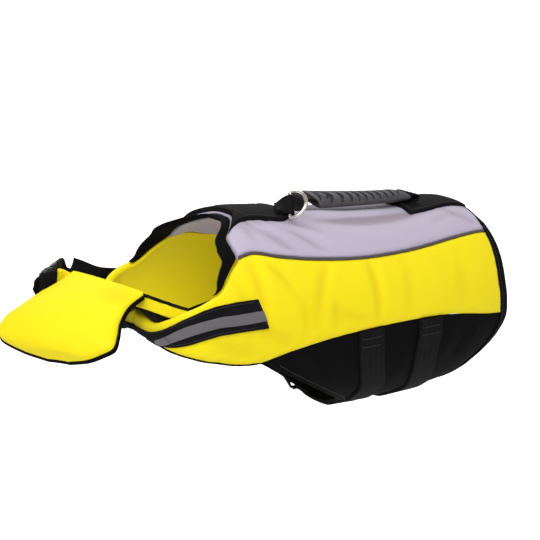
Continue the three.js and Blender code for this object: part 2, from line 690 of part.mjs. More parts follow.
// Handle: webbing sewn down at both ends, with a moulded grip round its middle.
// The grip narrows to the rear, and its front end is rolled towards the left.
const GRIP = {
  from: -45, to: 78, thick: 10, clear: 5.1, dome: 0.45, grooves: 10, groove: 1.3, bulge: 5,
};
const GRIP_HALF = { front: 17.5, rear: 13.5 };
const GRIP_ROLL = { front: 7, rear: -1 };
const gripMiddle = (x) => {
  const t = (x - GRIP.from) / (GRIP.to - GRIP.from);
  return backTop(x) + GRIP.clear + GRIP.thick / 2 + mix(1.2, 0.2, t) + 0.8 * Math.sin(Math.PI * t);
};
function grip() {
  const count = 40;
  const rings = steps(count).map((t) => {
    const x = mix(GRIP.from, GRIP.to, t);
    const z = gripMiddle(x);
    const endward = Math.min(t, 1 - t) * count;
    const swell = endward < 1 ? 0.8 : 1;
    const pitch = (GRIP.to - GRIP.from - 16) / GRIP.grooves;
    const half = mix(GRIP_HALF.front, GRIP_HALF.rear, t);
    const roll = radians(mix(GRIP_ROLL.front, GRIP_ROLL.rear, t));
    return Array.from({ length: 12 }, (_, k) => {
      const turn = (2 * Math.PI * (k + 0.5)) / 12;
      const c = Math.cos(turn);
      const w = Math.sin(turn);
      const y = Math.sign(c) * Math.abs(c) ** 0.5 * half * swell;
      let h = Math.sign(w) * Math.abs(w) ** 0.7 * (GRIP.thick / 2) * swell;
      const inside = ease(x, GRIP.from + 4, GRIP.from + 10) * ease(-x, -GRIP.to + 4, -GRIP.to + 10);
      const phase = (x - GRIP.from - 8 + ((y / half) ** 2 - 1) * GRIP.bulge) / pitch;
      const dip = ease(Math.cos(2 * Math.PI * phase), 0.1, 0.9) * inside;
      if (w > 0) h *= 1 - GRIP.dome * (y / half) ** 2;
      if (w > 0.3 && Math.abs(y) < half * 0.95) h -= GRIP.groove * dip;
      const [cosine, sine] = [Math.cos(roll), Math.sin(roll)];
      return vector(x, y * cosine - h * sine, z + h * cosine + y * sine);
    });
  });
  return loft(rings);
}
add('handle_grip', grip(), RUBBER);

const across = vector(0, 1, 0);
const WEB_HALF = 14;
const webStation = (x, z, half = WEB_HALF) => ({ at: vector(x, 0, z), across, half });
const HALF_WEB = WEBBING / 2;
// The front webbing arches out of the grip: height of its middle over the back panel at each x
const FRONT_ARCH = [
  { x: -46, z: 10.5 }, { x: -50, z: 12.4 }, { x: -55, z: 12.6 }, { x: -58.5, z: 10.2 },
  { x: -61, z: 6 }, { x: -64, z: 2.4 }, { x: -68, z: 1.6 }, { x: -72, z: 1.6 },
];
const frontHandleWeb = () => band(FRONT_ARCH.map(({ x, z }) => webStation(x, backTop(x) + z)), WEBBING);
add('handle_webbing_front', frontHandleWeb(), BLACK);

function rearHandleWeb() {
  const start = GRIP.to + 0.6;
  const middle = gripMiddle(GRIP.to);
  const floor = (x) => backTop(x) + 3 * SEAM_GAP + SPINE_THICK.rear + HALF_WEB + 0.2;
  const stations = [
    webStation(start, middle + 1, WEB_HALF - 1.5),
    webStation(start + 5, middle + 0.4),
  ];
  const low = floor(start + 7);
  const radius = (middle - low) / 2;
  for (const t of steps(6)) {
    const turn = mix(Math.PI / 2, -Math.PI / 2, t);
    const x = start + 6 + radius * Math.cos(turn);
    stations.push(webStation(x, low + radius + radius * Math.sin(turn)));
  }
  stations.push(webStation(start + 1, floor(start + 1)));
  return band(stations, WEBBING);
}
add('handle_webbing_rear', rearHandleWeb(), BLACK);

// Neck band: a yellow strip with a black bound top edge, from inside the left wing across the
// front to the right corner. x, y = plan of the path, z = its top edge
const NECK_BAND = [
  { at: 0, x: -222.9, y: -66.8, z: -45 },
  { at: 1, x: -232.9, y: -60.8, z: -42 },
  { at: 2, x: -243.9, y: -43.5, z: -38 },
  { at: 3, x: -252.5, y: -27, z: -34.5 },
  { at: 4, x: -262, y: 5, z: -32 },
  { at: 5, x: -272, y: 36, z: -30 },
  { at: 6, x: -277.8, y: 63.6, z: -29 },
];
const BAND_HEIGHT = 14;
const BAND_WALL = 3;
function bandPoint(u, depth, drop) {
  const at = u * (NECK_BAND.length - 1);
  const point = (k) => vector(read(NECK_BAND, 'at', k, 'x'), read(NECK_BAND, 'at', k, 'y'), 0);
  const along = point(at + 0.05).sub(point(at - 0.05)).normalize();
  const inward = vector(along.y, -along.x, 0);
  const place = point(at).addScaledVector(inward, depth);
  place.z = read(NECK_BAND, 'at', at, 'z') - drop;
  return place;
}
const bandWall = (top, low, depth, thick, columns = 12) => {
  const at = (u, v, extra) => bandPoint(u, depth + extra, mix(top, low, v));
  return wall((u, v) => at(u, v, 0), (u, v) => at(u, v, thick), columns, 2);
};
add('neck_band', bandWall(2.5 + SEAM_GAP, BAND_HEIGHT, 0, BAND_WALL), YELLOW);
add('neck_band_binding', bandWall(0, 2.5, -0.6, BAND_WALL + 1.2), BLACK);

// Chest mesh: black net from under the neck band, back over the wings' edge and down behind them
function chestMesh() {
  const at = (u, v, extra) => {
    const top = bandPoint(mix(0.06, 0.92, u), 0.4 + extra, BAND_HEIGHT + SEAM_GAP);
    const x = mix(-226, -236, ease(u, 0, 0.4)) + extra;
    const y = mix(-58, 44, u);
    const knee = vector(x, y, mix(-53, -46, ease(u, 0.3, 1)));
    const foot = vector(x + 1, y, -72);
    return v < 0.5 ? top.lerp(knee, v * 2) : knee.lerp(foot, v * 2 - 1);
  };
  return wall((u, v) => at(u, v, 0), (u, v) => at(u, v, 1.6), 10, 4);
}
add('chest_mesh', chestMesh(), BLACK);

// Chin float: a padded tongue on the neck band. near and far = its left and right edge points
const CHIN = [
  { t: 0, nearX: -255, nearY: -25.1, nearZ: -31, farX: -279, farY: 58, farZ: -26, crown: 1 },
  { t: 0.2, nearX: -270.1, nearY: -23.3, nearZ: -39.7, farX: -293, farY: 63, farZ: -36, crown: 6 },
  { t: 0.42, nearX: -283.4, nearY: -28.8, nearZ: -50.5, farX: -311, farY: 67, farZ: -45, crown: 10 },
  { t: 0.62, nearX: -292.8, nearY: -38.8, nearZ: -59.7, farX: -330, farY: 68, farZ: -54, crown: 12 },
  { t: 0.8, nearX: -302.1, nearY: -46.2, nearZ: -67, farX: -349, farY: 67, farZ: -63, crown: 11 },
  { t: 0.9, nearX: -311, nearY: -41.4, nearZ: -72, farX: -358, farY: 56, farZ: -73, crown: 8 },
  { t: 0.97, nearX: -320.7, nearY: -30.4, nearZ: -78, farX: -349, farY: 30, farZ: -80, crown: 5 },
  { t: 1, nearX: -328, nearY: -12, nearZ: -83, farX: -337, farY: 8, farZ: -84, crown: 2 },
];
function chinPoint(t, v, lift, grow) {
  const column = (name) => read(CHIN, 't', t, name);
  const near = vector(column('nearX'), column('nearY'), column('nearZ'));
  const far = vector(column('farX'), column('farY'), column('farZ'));
  const side = far.clone().sub(near).normalize();
  near.addScaledVector(side, -grow);
  far.addScaledVector(side, grow);
  const place = near.lerp(far, v);
  const arch = Math.max(0, 4 * v * (1 - v)) ** 0.62;
  const normal = vector(-0.45, -0.05, 0.9).lerp(vector(0, 0, 1), 1 - ease(t, 0, 0.3)).normalize();
  return place.addScaledVector(normal, lift + column('crown') * arch);
}
const CHIN_EDGE = 3;
const CHIN_HOLLOW = 0.3;
const CHIN_BACK = { room: 1.5, wall: 2.8, grow: 1.6 };
const chinUnder = (depth, grow) => (u, v) => {
  const arch = Math.max(0, 4 * v * (1 - v)) ** 0.62;
  return chinPoint(u, v, -depth - (1 - CHIN_HOLLOW) * read(CHIN, 't', u, 'crown') * arch, grow);
};
add('chin_float', wall((u, v) => chinPoint(u, v, 0, 0), chinUnder(CHIN_EDGE, 0), 14, 10), YELLOW);
const backTopAt = chinUnder(CHIN_EDGE + CHIN_BACK.room, CHIN_BACK.grow);
const backLowAt = chinUnder(CHIN_EDGE + CHIN_BACK.room + CHIN_BACK.wall, CHIN_BACK.grow);
add('chin_float_back', wall(backTopAt, backLowAt, 14, 10), BLACK);

// Neck strap: webbing from the right wing to a side release buckle at the right chest corner,
// and a short end from the buckle to the yellow loop at the end of the neck band
const upright = vector(0.1, 0, 1).normalize();
const strapAt = (x, y, z, half = 12) => ({ at: vector(x, y, z), across: upright, half });
const NECK_BUCKLE = { width: 23, length: 38 };
const NECK_BUCKLE_AT = vector(-286, 85.5, -37);
const NECK_BUCKLE_ALONG = vector(0.87, 0.46, 0.17).normalize();
const NECK_BUCKLE_BACK = vector(-0.46, 0.87, 0).normalize();
const NECK_BUCKLE_ACROSS = NECK_BUCKLE_BACK.clone().cross(NECK_BUCKLE_ALONG).normalize();
addBuckle('neck_buckle', NECK_BUCKLE.width, NECK_BUCKLE.length,
  placed(NECK_BUCKLE_AT, NECK_BUCKLE_ALONG, NECK_BUCKLE_BACK));
const buckleEnd = (side) => NECK_BUCKLE_AT.clone()
  .addScaledVector(NECK_BUCKLE_ALONG, side * (NECK_BUCKLE.length / 2 + 3 * SEAM_GAP));
const rearEnd = buckleEnd(1);
const STRIP_STACK = STRIP_LIFT + 1.6 + 1 + 3 * SEAM_GAP;
const sewn = (s, phi) => {
  const down = form(s, phi + 1, 1).sub(form(s, phi - 1, 1)).normalize();
  return { at: plain(s, phi, 1, STRIP_STACK + WEBBING / 2), across: down.negate(), half: 12 };
};
add('neck_strap', band([
  sewn(-192, 77), sewn(-204, 76), sewn(-216, 75), strapAt(-236, 86, -48), strapAt(-254, 93.5, -39),
  { at: rearEnd, across: NECK_BUCKLE_ACROSS, half: 11 },
], WEBBING), BLACK);
const frontEnd = buckleEnd(-1);
add('neck_strap_end', band([
  { at: frontEnd, across: NECK_BUCKLE_ACROSS, half: 9.5 }, strapAt(-306, 74.5, -40, 9.5),
  strapAt(-305, 71, -38, 9), strapAt(-300.5, 70.5, -35, 8), strapAt(-289, 72.1, -33.5, 6.5),
], WEBBING), BLACK);
add('neck_band_loop', band([
  strapAt(-278.7, 64.1, -37, 7), strapAt(-280.2, 69.6, -36, 7), strapAt(-282.4, 73, -34.5, 7),
  strapAt(-285.6, 73.4, -33.5, 7), strapAt(-287.2, 70.8, -33.5, 7), strapAt(-286.6, 66.6, -33.5, 7),
], WEBBING), YELLOW);

export default jacket;
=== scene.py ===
"""Dog life jacket, dressed: cloth, webbing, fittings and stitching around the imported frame."""
import math

import bpy
import numpy as np
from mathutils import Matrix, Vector


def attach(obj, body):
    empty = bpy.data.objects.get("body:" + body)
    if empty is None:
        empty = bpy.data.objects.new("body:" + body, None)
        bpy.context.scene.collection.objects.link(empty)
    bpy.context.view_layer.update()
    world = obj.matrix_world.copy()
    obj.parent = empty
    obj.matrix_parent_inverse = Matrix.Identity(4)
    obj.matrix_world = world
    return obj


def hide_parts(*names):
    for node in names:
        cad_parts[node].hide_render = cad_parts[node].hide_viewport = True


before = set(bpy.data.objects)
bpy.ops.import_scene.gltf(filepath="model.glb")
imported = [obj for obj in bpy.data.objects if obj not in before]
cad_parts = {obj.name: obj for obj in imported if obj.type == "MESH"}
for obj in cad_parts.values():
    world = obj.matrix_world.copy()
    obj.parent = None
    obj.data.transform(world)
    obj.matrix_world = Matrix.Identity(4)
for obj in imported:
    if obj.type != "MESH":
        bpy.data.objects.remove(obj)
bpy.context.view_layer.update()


# Studio. The camera stands where the photograph was taken from, to the front left of the
# jacket and a little above it, 1.5 m away. Large soft lamps and a pale floor, as in a
# product shot on white.
LOOK_AT = Vector((-0.0695, 0.0324, -0.0506))
AZIMUTH, ELEVATION, DISTANCE = math.radians(-37), math.radians(16), 1.5
FLOOR_Z = -0.36


def from_side(azimuth, elevation, distance):
    """The place at a distance from LOOK_AT, an azimuth round it and an elevation over it."""
    flat = math.cos(elevation) * distance
    place = (math.sin(azimuth) * flat, -math.cos(azimuth) * flat, math.sin(elevation) * distance)
    return LOOK_AT + Vector(place)


def aim(thing, place):
    """Puts a camera or lamp at a place, looking at LOOK_AT."""
    thing.location = place
    thing.rotation_euler = (LOOK_AT - place).to_track_quat("-Z", "Y").to_euler()
    bpy.context.scene.collection.objects.link(thing)


lens = bpy.data.cameras.new("camera")
lens.lens, lens.sensor_width = 100, 36
camera = bpy.data.objects.new("camera", lens)
aim(camera, from_side(AZIMUTH, ELEVATION, DISTANCE))
bpy.context.scene.camera = camera

LAMPS = {
    # name: azimuth, elevation in degrees, distance and size in metres, watts
    "key": (-50, 50, 1.6, 1.0, 17),
    "front": (-110, 20, 1.8, 0.8, 2.5),
    "fill": (30, 30, 1.9, 1.4, 5),
    "back": (150, 44, 1.9, 1.2, 9),
}
for name, (azimuth, elevation, distance, size, watts) in LAMPS.items():
    lamp = bpy.data.lights.new(name, "AREA")
    lamp.size, lamp.energy = size, watts
    place = from_side(math.radians(azimuth), math.radians(elevation), distance)
    aim(bpy.data.objects.new(name, lamp), place)
bpy.context.scene.view_settings.view_transform = "Standard"

# The backdrop and the floor are brighter for the camera than as lights, which keeps the shade
# in the folds
AMBIENT, FLOOR_GLOW, FLOOR_HALF = 0.42, 0.8, 6


def for_camera(tree, others, camera_rays, socket):
    """Feeds a socket with one value for camera rays and with another for all other rays."""
    seen = tree.nodes.new("ShaderNodeLightPath")
    level = tree.nodes.new("ShaderNodeMapRange")
    level.inputs["To Min"].default_value = others
    level.inputs["To Max"].default_value = camera_rays
    tree.links.new(seen.outputs["Is Camera Ray"], level.inputs["Value"])
    tree.links.new(level.outputs[0], socket)


world = bpy.data.worlds.new("studio")
world.use_nodes = True
sky = world.node_tree.nodes["Background"]
sky.inputs["Color"].default_value = (1, 1, 1, 1)
for_camera(world.node_tree, AMBIENT, 1, sky.inputs["Strength"])
bpy.context.scene.world = world

floor_mesh = bpy.data.meshes.new("floor")
corners = [(-FLOOR_HALF, -FLOOR_HALF, FLOOR_Z), (FLOOR_HALF, -FLOOR_HALF, FLOOR_Z),
           (FLOOR_HALF, FLOOR_HALF, FLOOR_Z), (-FLOOR_HALF, FLOOR_HALF, FLOOR_Z)]
floor_mesh.from_pydata(corners, [], [(0, 1, 2, 3)])
floor = bpy.data.objects.new("floor", floor_mesh)
bpy.context.scene.collection.objects.link(floor)
pale = bpy.data.materials.new("pale_floor")
pale.use_nodes = True
shader = pale.node_tree.nodes["Principled BSDF"]
shader.inputs["Base Color"].default_value = (0.9, 0.9, 0.9, 1)
shader.inputs["Roughness"].default_value = 0.9
shader.inputs["Emission Color"].default_value = (1, 1, 1, 1)
for_camera(pale.node_tree, 0, FLOOR_GLOW, shader.inputs["Emission Strength"])
floor_mesh.materials.append(pale)


# Back panel. One piece of grey lavender nylon over 8 mm of foam, across the spine from the
# neck to the loin, sewn into the piping at both sides. It holds the others' shape: s runs
# along the torso in mm, phi is the angle down from the spine, side is -1 on the dog's left.
MM = 0.001
WALL = 8
TORSO = np.array([
    # x, half width, height at the spine, at the widest point, at the belly
    (-214, 84, 14, -80, -170),
    (-150, 88, 22, -88, -182),
    (-90, 92, 16, -92, -188),
    (-30, 94.3, 6.5, -94, -190),
    (40, 94.5, -1, -96, -196),
    (100, 91.5, -3, -97.5, -194),
    (138, 87, -6.5, -99, -180),
    (158, 82.5, -18, -100, -168),
])
FULLNESS = 2.2
CHEST_X, CHEST_Y, CHEST_TURN = -214, 46, 38
MM_PER_DEGREE = 1.65


def read(table, at, column):
    """A column of a table anywhere along its first column: the cubic through the rows whose
    slope at each row is that of the line between the rows before and after it."""
    x, y = np.asarray(table, float)[:, 0], np.asarray(table, float)[:, column]
    rows = np.arange(len(x))
    before, after = np.maximum(rows - 1, 0), np.minimum(rows + 1, len(x) - 1)
    slope = (y[after] - y[before]) / (x[after] - x[before])
    at = np.clip(at, x[0], x[-1])
    i = np.clip(np.searchsorted(x, at) - 1, 0, len(x) - 2)
    span, rise = x[i + 1] - x[i], y[i + 1] - y[i]
    t = (at - x[i]) / span
    bend = t * (1 - t) * ((1 - t) * (slope[i] * span - rise) - t * (slope[i + 1] * span - rise))
    return y[i] + rise * t + bend


def mix(a, b, t):
    """The value a share t of the way from a to b."""
    return a + (b - a) * t


def ease(value, low, high):
    """0 below low, 1 above high, and a smooth step between them."""
    t = np.clip((value - low) / (high - low), 0, 1)
    return t * t * (3 - 2 * t)


def power(value):
    """The sign of a value with its size raised to 2 over the fullness of the section."""
    return np.sign(value) * np.abs(value) ** (2 / FULLNESS)


RISE = WALL - read(TORSO, 0, 2)


def form(s, phi, side):
    """The jacket's outer face in mm: a superellipse at every x, with the rows of TORSO as its
    half width and heights; ahead of CHEST_X the sides turn in on an arc to the centre front."""
    s, phi = np.broadcast_arrays(np.asarray(s, float), np.asarray(phi, float))
    x = np.maximum(s, CHEST_X)
    half, top, wide, low = (read(TORSO, x, k) for k in (1, 2, 3, 4))
    c = np.cos(np.radians(phi))
    out = half * power(np.sin(np.radians(phi)))
    z = wide + power(c) * np.where(c > 0, top - wide, wide - low) + RISE
    turned = (CHEST_X - s) / CHEST_TURN
    reach = out - CHEST_Y
    corner = np.clip(turned, 0, math.pi / 2)
    front_x = CHEST_X - reach * np.sin(corner)
    front_y = CHEST_Y + reach * np.cos(corner) - np.maximum(turned - math.pi / 2, 0) * CHEST_TURN
    ahead = s < CHEST_X
    return np.stack([np.where(ahead, front_x, s), side * np.where(ahead, front_y, out), z], -1)


def unit(v):
    """Vectors of length 1."""
    return v / np.linalg.norm(v, axis=-1, keepdims=True)


def outward(s, phi, side):
    """The way out of the form: the cross product of its two directions."""
    step = 0.6
    along = form(s + step, phi, side) - form(s - step, phi, side)
    down = form(s, phi + step, side) - form(s, phi - step, side)
    return unit(np.cross(down, along)) * -side


def lifted(s, phi, side, lift):
    """Points of the form moved out by lift, in mm."""
    return form(s, phi, side) + outward(s, phi, side) * np.asarray(lift)[..., None]


CROWDING = 0.55


def spaced(count):
    """Steps from 0 to 1 that crowd towards both ends."""
    t = np.linspace(0, 1, count + 1)
    return mix(t, 0.5 - 0.5 * np.cos(math.pi * t), CROWDING)


def grid(columns, rows):
    """Two grids of parameters, u along the columns and v along the rows."""
    return np.meshgrid(spaced(columns), spaced(rows), indexing="ij")


def uneven(x, seed):
    """A wandering value about 0 of x in mm: three sines whose lengths share no multiple."""
    a, b, c = 3.1 * seed, 5.3 * seed, 1.7 * seed
    return (np.sin(x / 2.9 + a) + np.sin(x / 4.7 + b) + 0.8 * np.sin(x / 1.9 + c)) / 2.8


def roll(distance, depth, radius, flange=0):
    """How deep a padded face lies at a distance from its seam: flat over the flange, then a
    quarter circle of the radius up to the full height."""
    t = np.clip((distance - flange) / radius, 0, 1)
    return depth * (1 - np.sqrt(1 - (1 - t) ** 2))


def puckers(height, distance, reach, at, seed):
    """Gathers beside a seam: they fade over a reach with the distance from it."""
    return height * np.exp(-distance / reach) * uneven(at, seed)


def rim(distance, radius, least):
    """The share of its thickness that a wall has at a distance from its edge: a quarter circle
    of the radius, from the least share up to 1."""
    t = np.clip(distance / radius, 0, 1)
    return least + (1 - least) * np.sqrt(1 - (1 - t) ** 2)


def creases(table, s, phi, side):
    """Relief in mm of soft creases: each is a bell across its line and another along it, and
    bow bends its line. The right side has the same ones, shifted and lower."""
    mirrored = (np.asarray(phi) < 0) | (side > 0)
    phi = np.abs(phi)
    total = np.zeros(np.broadcast(s, phi).shape)
    for at, angle, turn, long, wide, out, bow in table:
        along = s - at - np.where(mirrored, 11, 0)
        down = (phi - angle - np.where(mirrored, 4, 0)) * MM_PER_DEGREE
        cos, sin = math.cos(math.radians(turn)), math.sin(math.radians(turn))
        u = (along * cos + down * sin) / long
        w = (down * cos - along * sin - bow * u ** 2) / wide
        total += out * np.where(mirrored, 0.8, 1) * np.exp(-u ** 2 - np.abs(w) ** 1.7)
    return total


def travelled(path):
    """How far along a path each of its points lies."""
    return np.concatenate([[0], np.cumsum(np.linalg.norm(np.diff(path, axis=0), axis=1))])


def lengths(points, axis):
    """Length along one axis of a grid of points, measured down its middle, in mm."""
    return travelled(np.take(points, points.shape[1 - axis] // 2, axis=1 - axis))


UV_UNIT = 100


def put_mesh(name, points, faces, material, uv=None, relief=None, body="jacket", sharp=40):
    """A finished piece from points in mm and faces. Its volume is made positive, so that it
    faces out; uv is in units of 100 mm, and relief is kept as an attribute for the material's
    painted shade and highlight."""
    points = np.asarray(points, float)
    corners = np.concatenate([f[:, [0, k, k + 1]] for f in faces for k in range(1, f.shape[1] - 1)])
    a, b, c = (points[corners[:, k]] for k in range(3))
    if np.einsum("ij,ij->", a, np.cross(b, c)) < 0:
        faces = [f[:, ::-1] for f in faces]
    mesh = bpy.data.meshes.new(name)
    mesh.from_pydata((points * MM).tolist(), [], [q for f in faces for q in f.tolist()])
    mesh.polygons.foreach_set("use_smooth", np.ones(len(mesh.polygons), bool))
    mesh.set_sharp_from_angle(angle=math.radians(sharp))
    if uv is not None:
        corner = np.empty(len(mesh.loops), np.int32)
        mesh.loops.foreach_get("vertex_index", corner)
        layer = mesh.uv_layers.new(name="cloth")
        layer.data.foreach_set("uv", (uv[corner] / UV_UNIT).ravel())
    if relief is not None:
        mesh.attributes.new("relief", "FLOAT", "POINT").data.foreach_set("value", relief)
    mesh.materials.append(material)
    piece = bpy.data.objects.new(name, mesh)
    bpy.context.scene.collection.objects.link(piece)
    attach(piece, body)
    return piece


def quads(a, b, c, d):
    """Faces from four arrays of point numbers."""
    return np.stack([x.ravel() for x in (a, b, c, d)], 1)


def walls(name, pairs, material, relief=None):
    """One mesh of closed walls. Each is a grid of points for its face, one of like size for its
    back, and the four edges between them; relief is that of a single wall's face."""
    points, faces, uvs, start = [], [], [], 0
    for face, back in pairs:
        n, m = face.shape[:2]
        at = start + np.arange(n * m).reshape(n, m)
        under = at + n * m
        faces.append(quads(at[:-1, :-1], at[1:, :-1], at[1:, 1:], at[:-1, 1:]))
        faces.append(quads(under[:-1, :-1], under[:-1, 1:], under[1:, 1:], under[1:, :-1]))
        for j, turn in ((0, 1), (m - 1, -1)):
            faces.append(quads(at[:-1, j], under[:-1, j], under[1:, j], at[1:, j])[:, ::turn])
        for i, turn in ((0, -1), (n - 1, 1)):
            faces.append(quads(at[i, :-1], under[i, :-1], under[i, 1:], at[i, 1:])[:, ::turn])
        u, v = np.meshgrid(lengths(face, 0), lengths(face, 1), indexing="ij")
        uvs += [np.stack([u.ravel(), v.ravel()], 1)] * 2
        points += [face.reshape(-1, 3), back.reshape(-1, 3)]
        start += 2 * n * m
    if relief is not None:
        relief = np.concatenate([relief.ravel(), np.zeros(relief.size)])
    return put_mesh(name, np.concatenate(points), faces, material, np.concatenate(uvs), relief)


def shell(name, face, back, material, relief=None):
    """A single closed wall."""
    return walls(name, [(face, back)], material, relief)


def add_node(tree, kind, links=None, **settings):
    """A shader node; links maps its inputs to other nodes' outputs or to constants."""
    node = tree.nodes.new(kind)
    for key, value in settings.items():
        setattr(node, key, value)
    for key, value in (links or {}).items():
        if isinstance(value, bpy.types.NodeSocket):
            tree.links.new(value, node.inputs[key])
        else:
            node.inputs[key].default_value = value
    return node


def maths(tree, operation, a, b=0.0, c=0.0):
    """The output of a Math node."""
    return add_node(tree, "ShaderNodeMath", {0: a, 1: b, 2: c}, operation=operation).outputs[0]


def new_group(name, inputs, outputs):
    """An empty shader group with named inputs and outputs, and its two end nodes."""
    group = bpy.data.node_groups.new(name, "ShaderNodeTree")
    for label, kind in inputs.items():
        group.interface.new_socket(label, in_out="INPUT", socket_type=kind)
    for label, kind in outputs.items():
        group.interface.new_socket(label, in_out="OUTPUT", socket_type=kind)
    return group, group.nodes.new("NodeGroupInput"), group.nodes.new("NodeGroupOutput")


# Plain weave: a thread passes over and under the next, as the product of a sine along the
# cloth and one across it, and some threads are thicker than others.
weave, given, result = new_group(
    "plain weave",
    {"Vector": "NodeSocketVector", "Threads": "NodeSocketFloat"},
    {"Height": "NodeSocketFloat", "Slub": "NodeSocketFloat"},
)
apart = add_node(weave, "ShaderNodeSeparateXYZ", {0: given.outputs["Vector"]})
turns = maths(weave, "MULTIPLY", given.outputs["Threads"], 2 * math.pi)
warp = maths(weave, "SINE", maths(weave, "MULTIPLY", apart.outputs[0], turns))
weft = maths(weave, "SINE", maths(weave, "MULTIPLY", apart.outputs[1], turns))
long_vector = add_node(weave, "ShaderNodeVectorMath", {0: given.outputs["Vector"], 1: (40, 900, 1)},
                       operation="MULTIPLY")
slub = add_node(weave, "ShaderNodeTexNoise", {"Vector": long_vector.outputs[0], "Scale": 1.0,
                                              "Detail": 1.0})
weave.links.new(maths(weave, "MULTIPLY_ADD", warp, maths(weave, "MULTIPLY", weft, 0.5), 0.5),
                result.inputs["Height"])
weave.links.new(slub.outputs[0], result.inputs["Slub"])

# Mottle: clouds that wander from 0 to 1 over the piece
mottle, given, result = new_group(
    "mottle",
    {"Vector": "NodeSocketVector", "Size": "NodeSocketFloat"},
    {"Value": "NodeSocketFloat"},
)
small = add_node(mottle, "ShaderNodeTexNoise", {"Vector": given.outputs["Vector"],
                                                "Scale": given.outputs["Size"], "Detail": 4.0})
spread = add_node(mottle, "ShaderNodeMapRange", {"Value": small.outputs[0], "From Min": 0.3,
                                                 "From Max": 0.7})
mottle.links.new(spread.outputs[0], result.inputs["Value"])


def principled(name, colour, **constants):
    """A new material, its node tree and its shader, with constants on the shader's sockets."""
    material = bpy.data.materials.new(name)
    material.use_nodes = True
    shader = material.node_tree.nodes["Principled BSDF"]
    shader.inputs["Base Color"].default_value = (*colour, 1)
    for key, value in constants.items():
        shader.inputs[key.replace("_", " ")].default_value = value
    return material, material.node_tree, shader


def blend_colours(tree, share, first, second):
    """The output of a colour mix between two colours or sockets."""
    node = add_node(tree, "ShaderNodeMix", {"Factor": share}, data_type="RGBA")
    for key, value in ((6, first), (7, second)):
        if isinstance(value, bpy.types.NodeSocket):
            tree.links.new(value, node.inputs[key])
        else:
            node.inputs[key].default_value = (*value, 1)
    return node.outputs[2]


def clouds_of(tree, size):
    """The output of a mottle of a size on Object coordinates."""
    where = add_node(tree, "ShaderNodeTexCoord")
    return add_node(tree, "ShaderNodeGroup", {"Vector": where.outputs["Object"], "Size": size},
                    node_tree=mottle).outputs[0]


def paint(tree, shader, share, first, second):
    """Feeds a shader's colour with a mix of two colours."""
    tree.links.new(blend_colours(tree, share, first, second), shader.inputs["Base Color"])


def dull(tree, shader, share, low, high):
    """Feeds a shader's roughness, from low to high, as a share goes from 0 to 1."""
    level = add_node(tree, "ShaderNodeMapRange", {"Value": share, "To Min": low, "To Max": high})
    tree.links.new(level.outputs[0], shader.inputs["Roughness"])


def emboss(tree, shader, height, strength, distance):
    """Feeds a shader's normal with a height, its strength and its depth in metres."""
    raised = add_node(tree, "ShaderNodeBump", {"Height": height, "Strength": strength,
                                               "Distance": distance})
    tree.links.new(raised.outputs[0], shader.inputs["Normal"])


def nylon(name, colour, deep, mottle_and_highlight, threads=190, bump=0.05, **constants):
    """Smooth woven nylon: painted shade in its troughs and a painted highlight on its ridges, by
    the relief that its mesh carries, a slight mottle, and the weave as bump."""
    material, tree, shader = principled(name, colour, **constants)
    where = add_node(tree, "ShaderNodeTexCoord")
    # The relief attribute carries painted light and shade into the colour: low maps the troughs,
    # high the ridges.
    relief = add_node(tree, "ShaderNodeAttribute", attribute_name="relief")
    low = add_node(tree, "ShaderNodeMapRange", {"Value": relief.outputs["Fac"], "From Min": -0.1,
                                                "From Max": -1.6})
    high = add_node(tree, "ShaderNodeMapRange", {"Value": relief.outputs["Fac"], "From Min": 0.2,
                                                 "From Max": 1.6})
    clouds = clouds_of(tree, 14)
    threads_node = add_node(tree, "ShaderNodeGroup", {"Vector": where.outputs["UV"],
                                                      "Threads": threads}, node_tree=weave)
    shade = blend_colours(tree, maths(tree, "MULTIPLY", clouds, 0.25), colour, mottle_and_highlight)
    # Painted shade in the troughs towards the second colour, then a painted highlight on the ridges
    # towards the third.
    shade = blend_colours(tree, maths(tree, "MULTIPLY", low.outputs[0], 0.75), shade, deep)
    shade = blend_colours(tree, maths(tree, "MULTIPLY", high.outputs[0], 0.5), shade, mottle_and_highlight)
    grain = maths(tree, "MULTIPLY_ADD", threads_node.outputs["Slub"], 0.5,
                  threads_node.outputs["Height"])
    lines = maths(tree, "MULTIPLY", maths(tree, "SUBTRACT", grain, 0.75), 0.05)
    paint(tree, shader, maths(tree, "MAXIMUM", lines, 0.0), shade, deep)
    dull(tree, shader, clouds, constants["Roughness"] - 0.05, constants["Roughness"] + 0.06)
    emboss(tree, shader, grain, bump, 0.0002)
    return material


# Grey nylon: the second colour is the painted shade in its troughs and its darker grain, the third
# its mottle and the painted highlight on its ridges.
grey_nylon = nylon("grey_nylon", (0.47, 0.415, 0.53), (0.27, 0.205, 0.25), (0.58, 0.54, 0.66),
                   Roughness=0.62, Sheen_Weight=0.25, Sheen_Roughness=0.5)

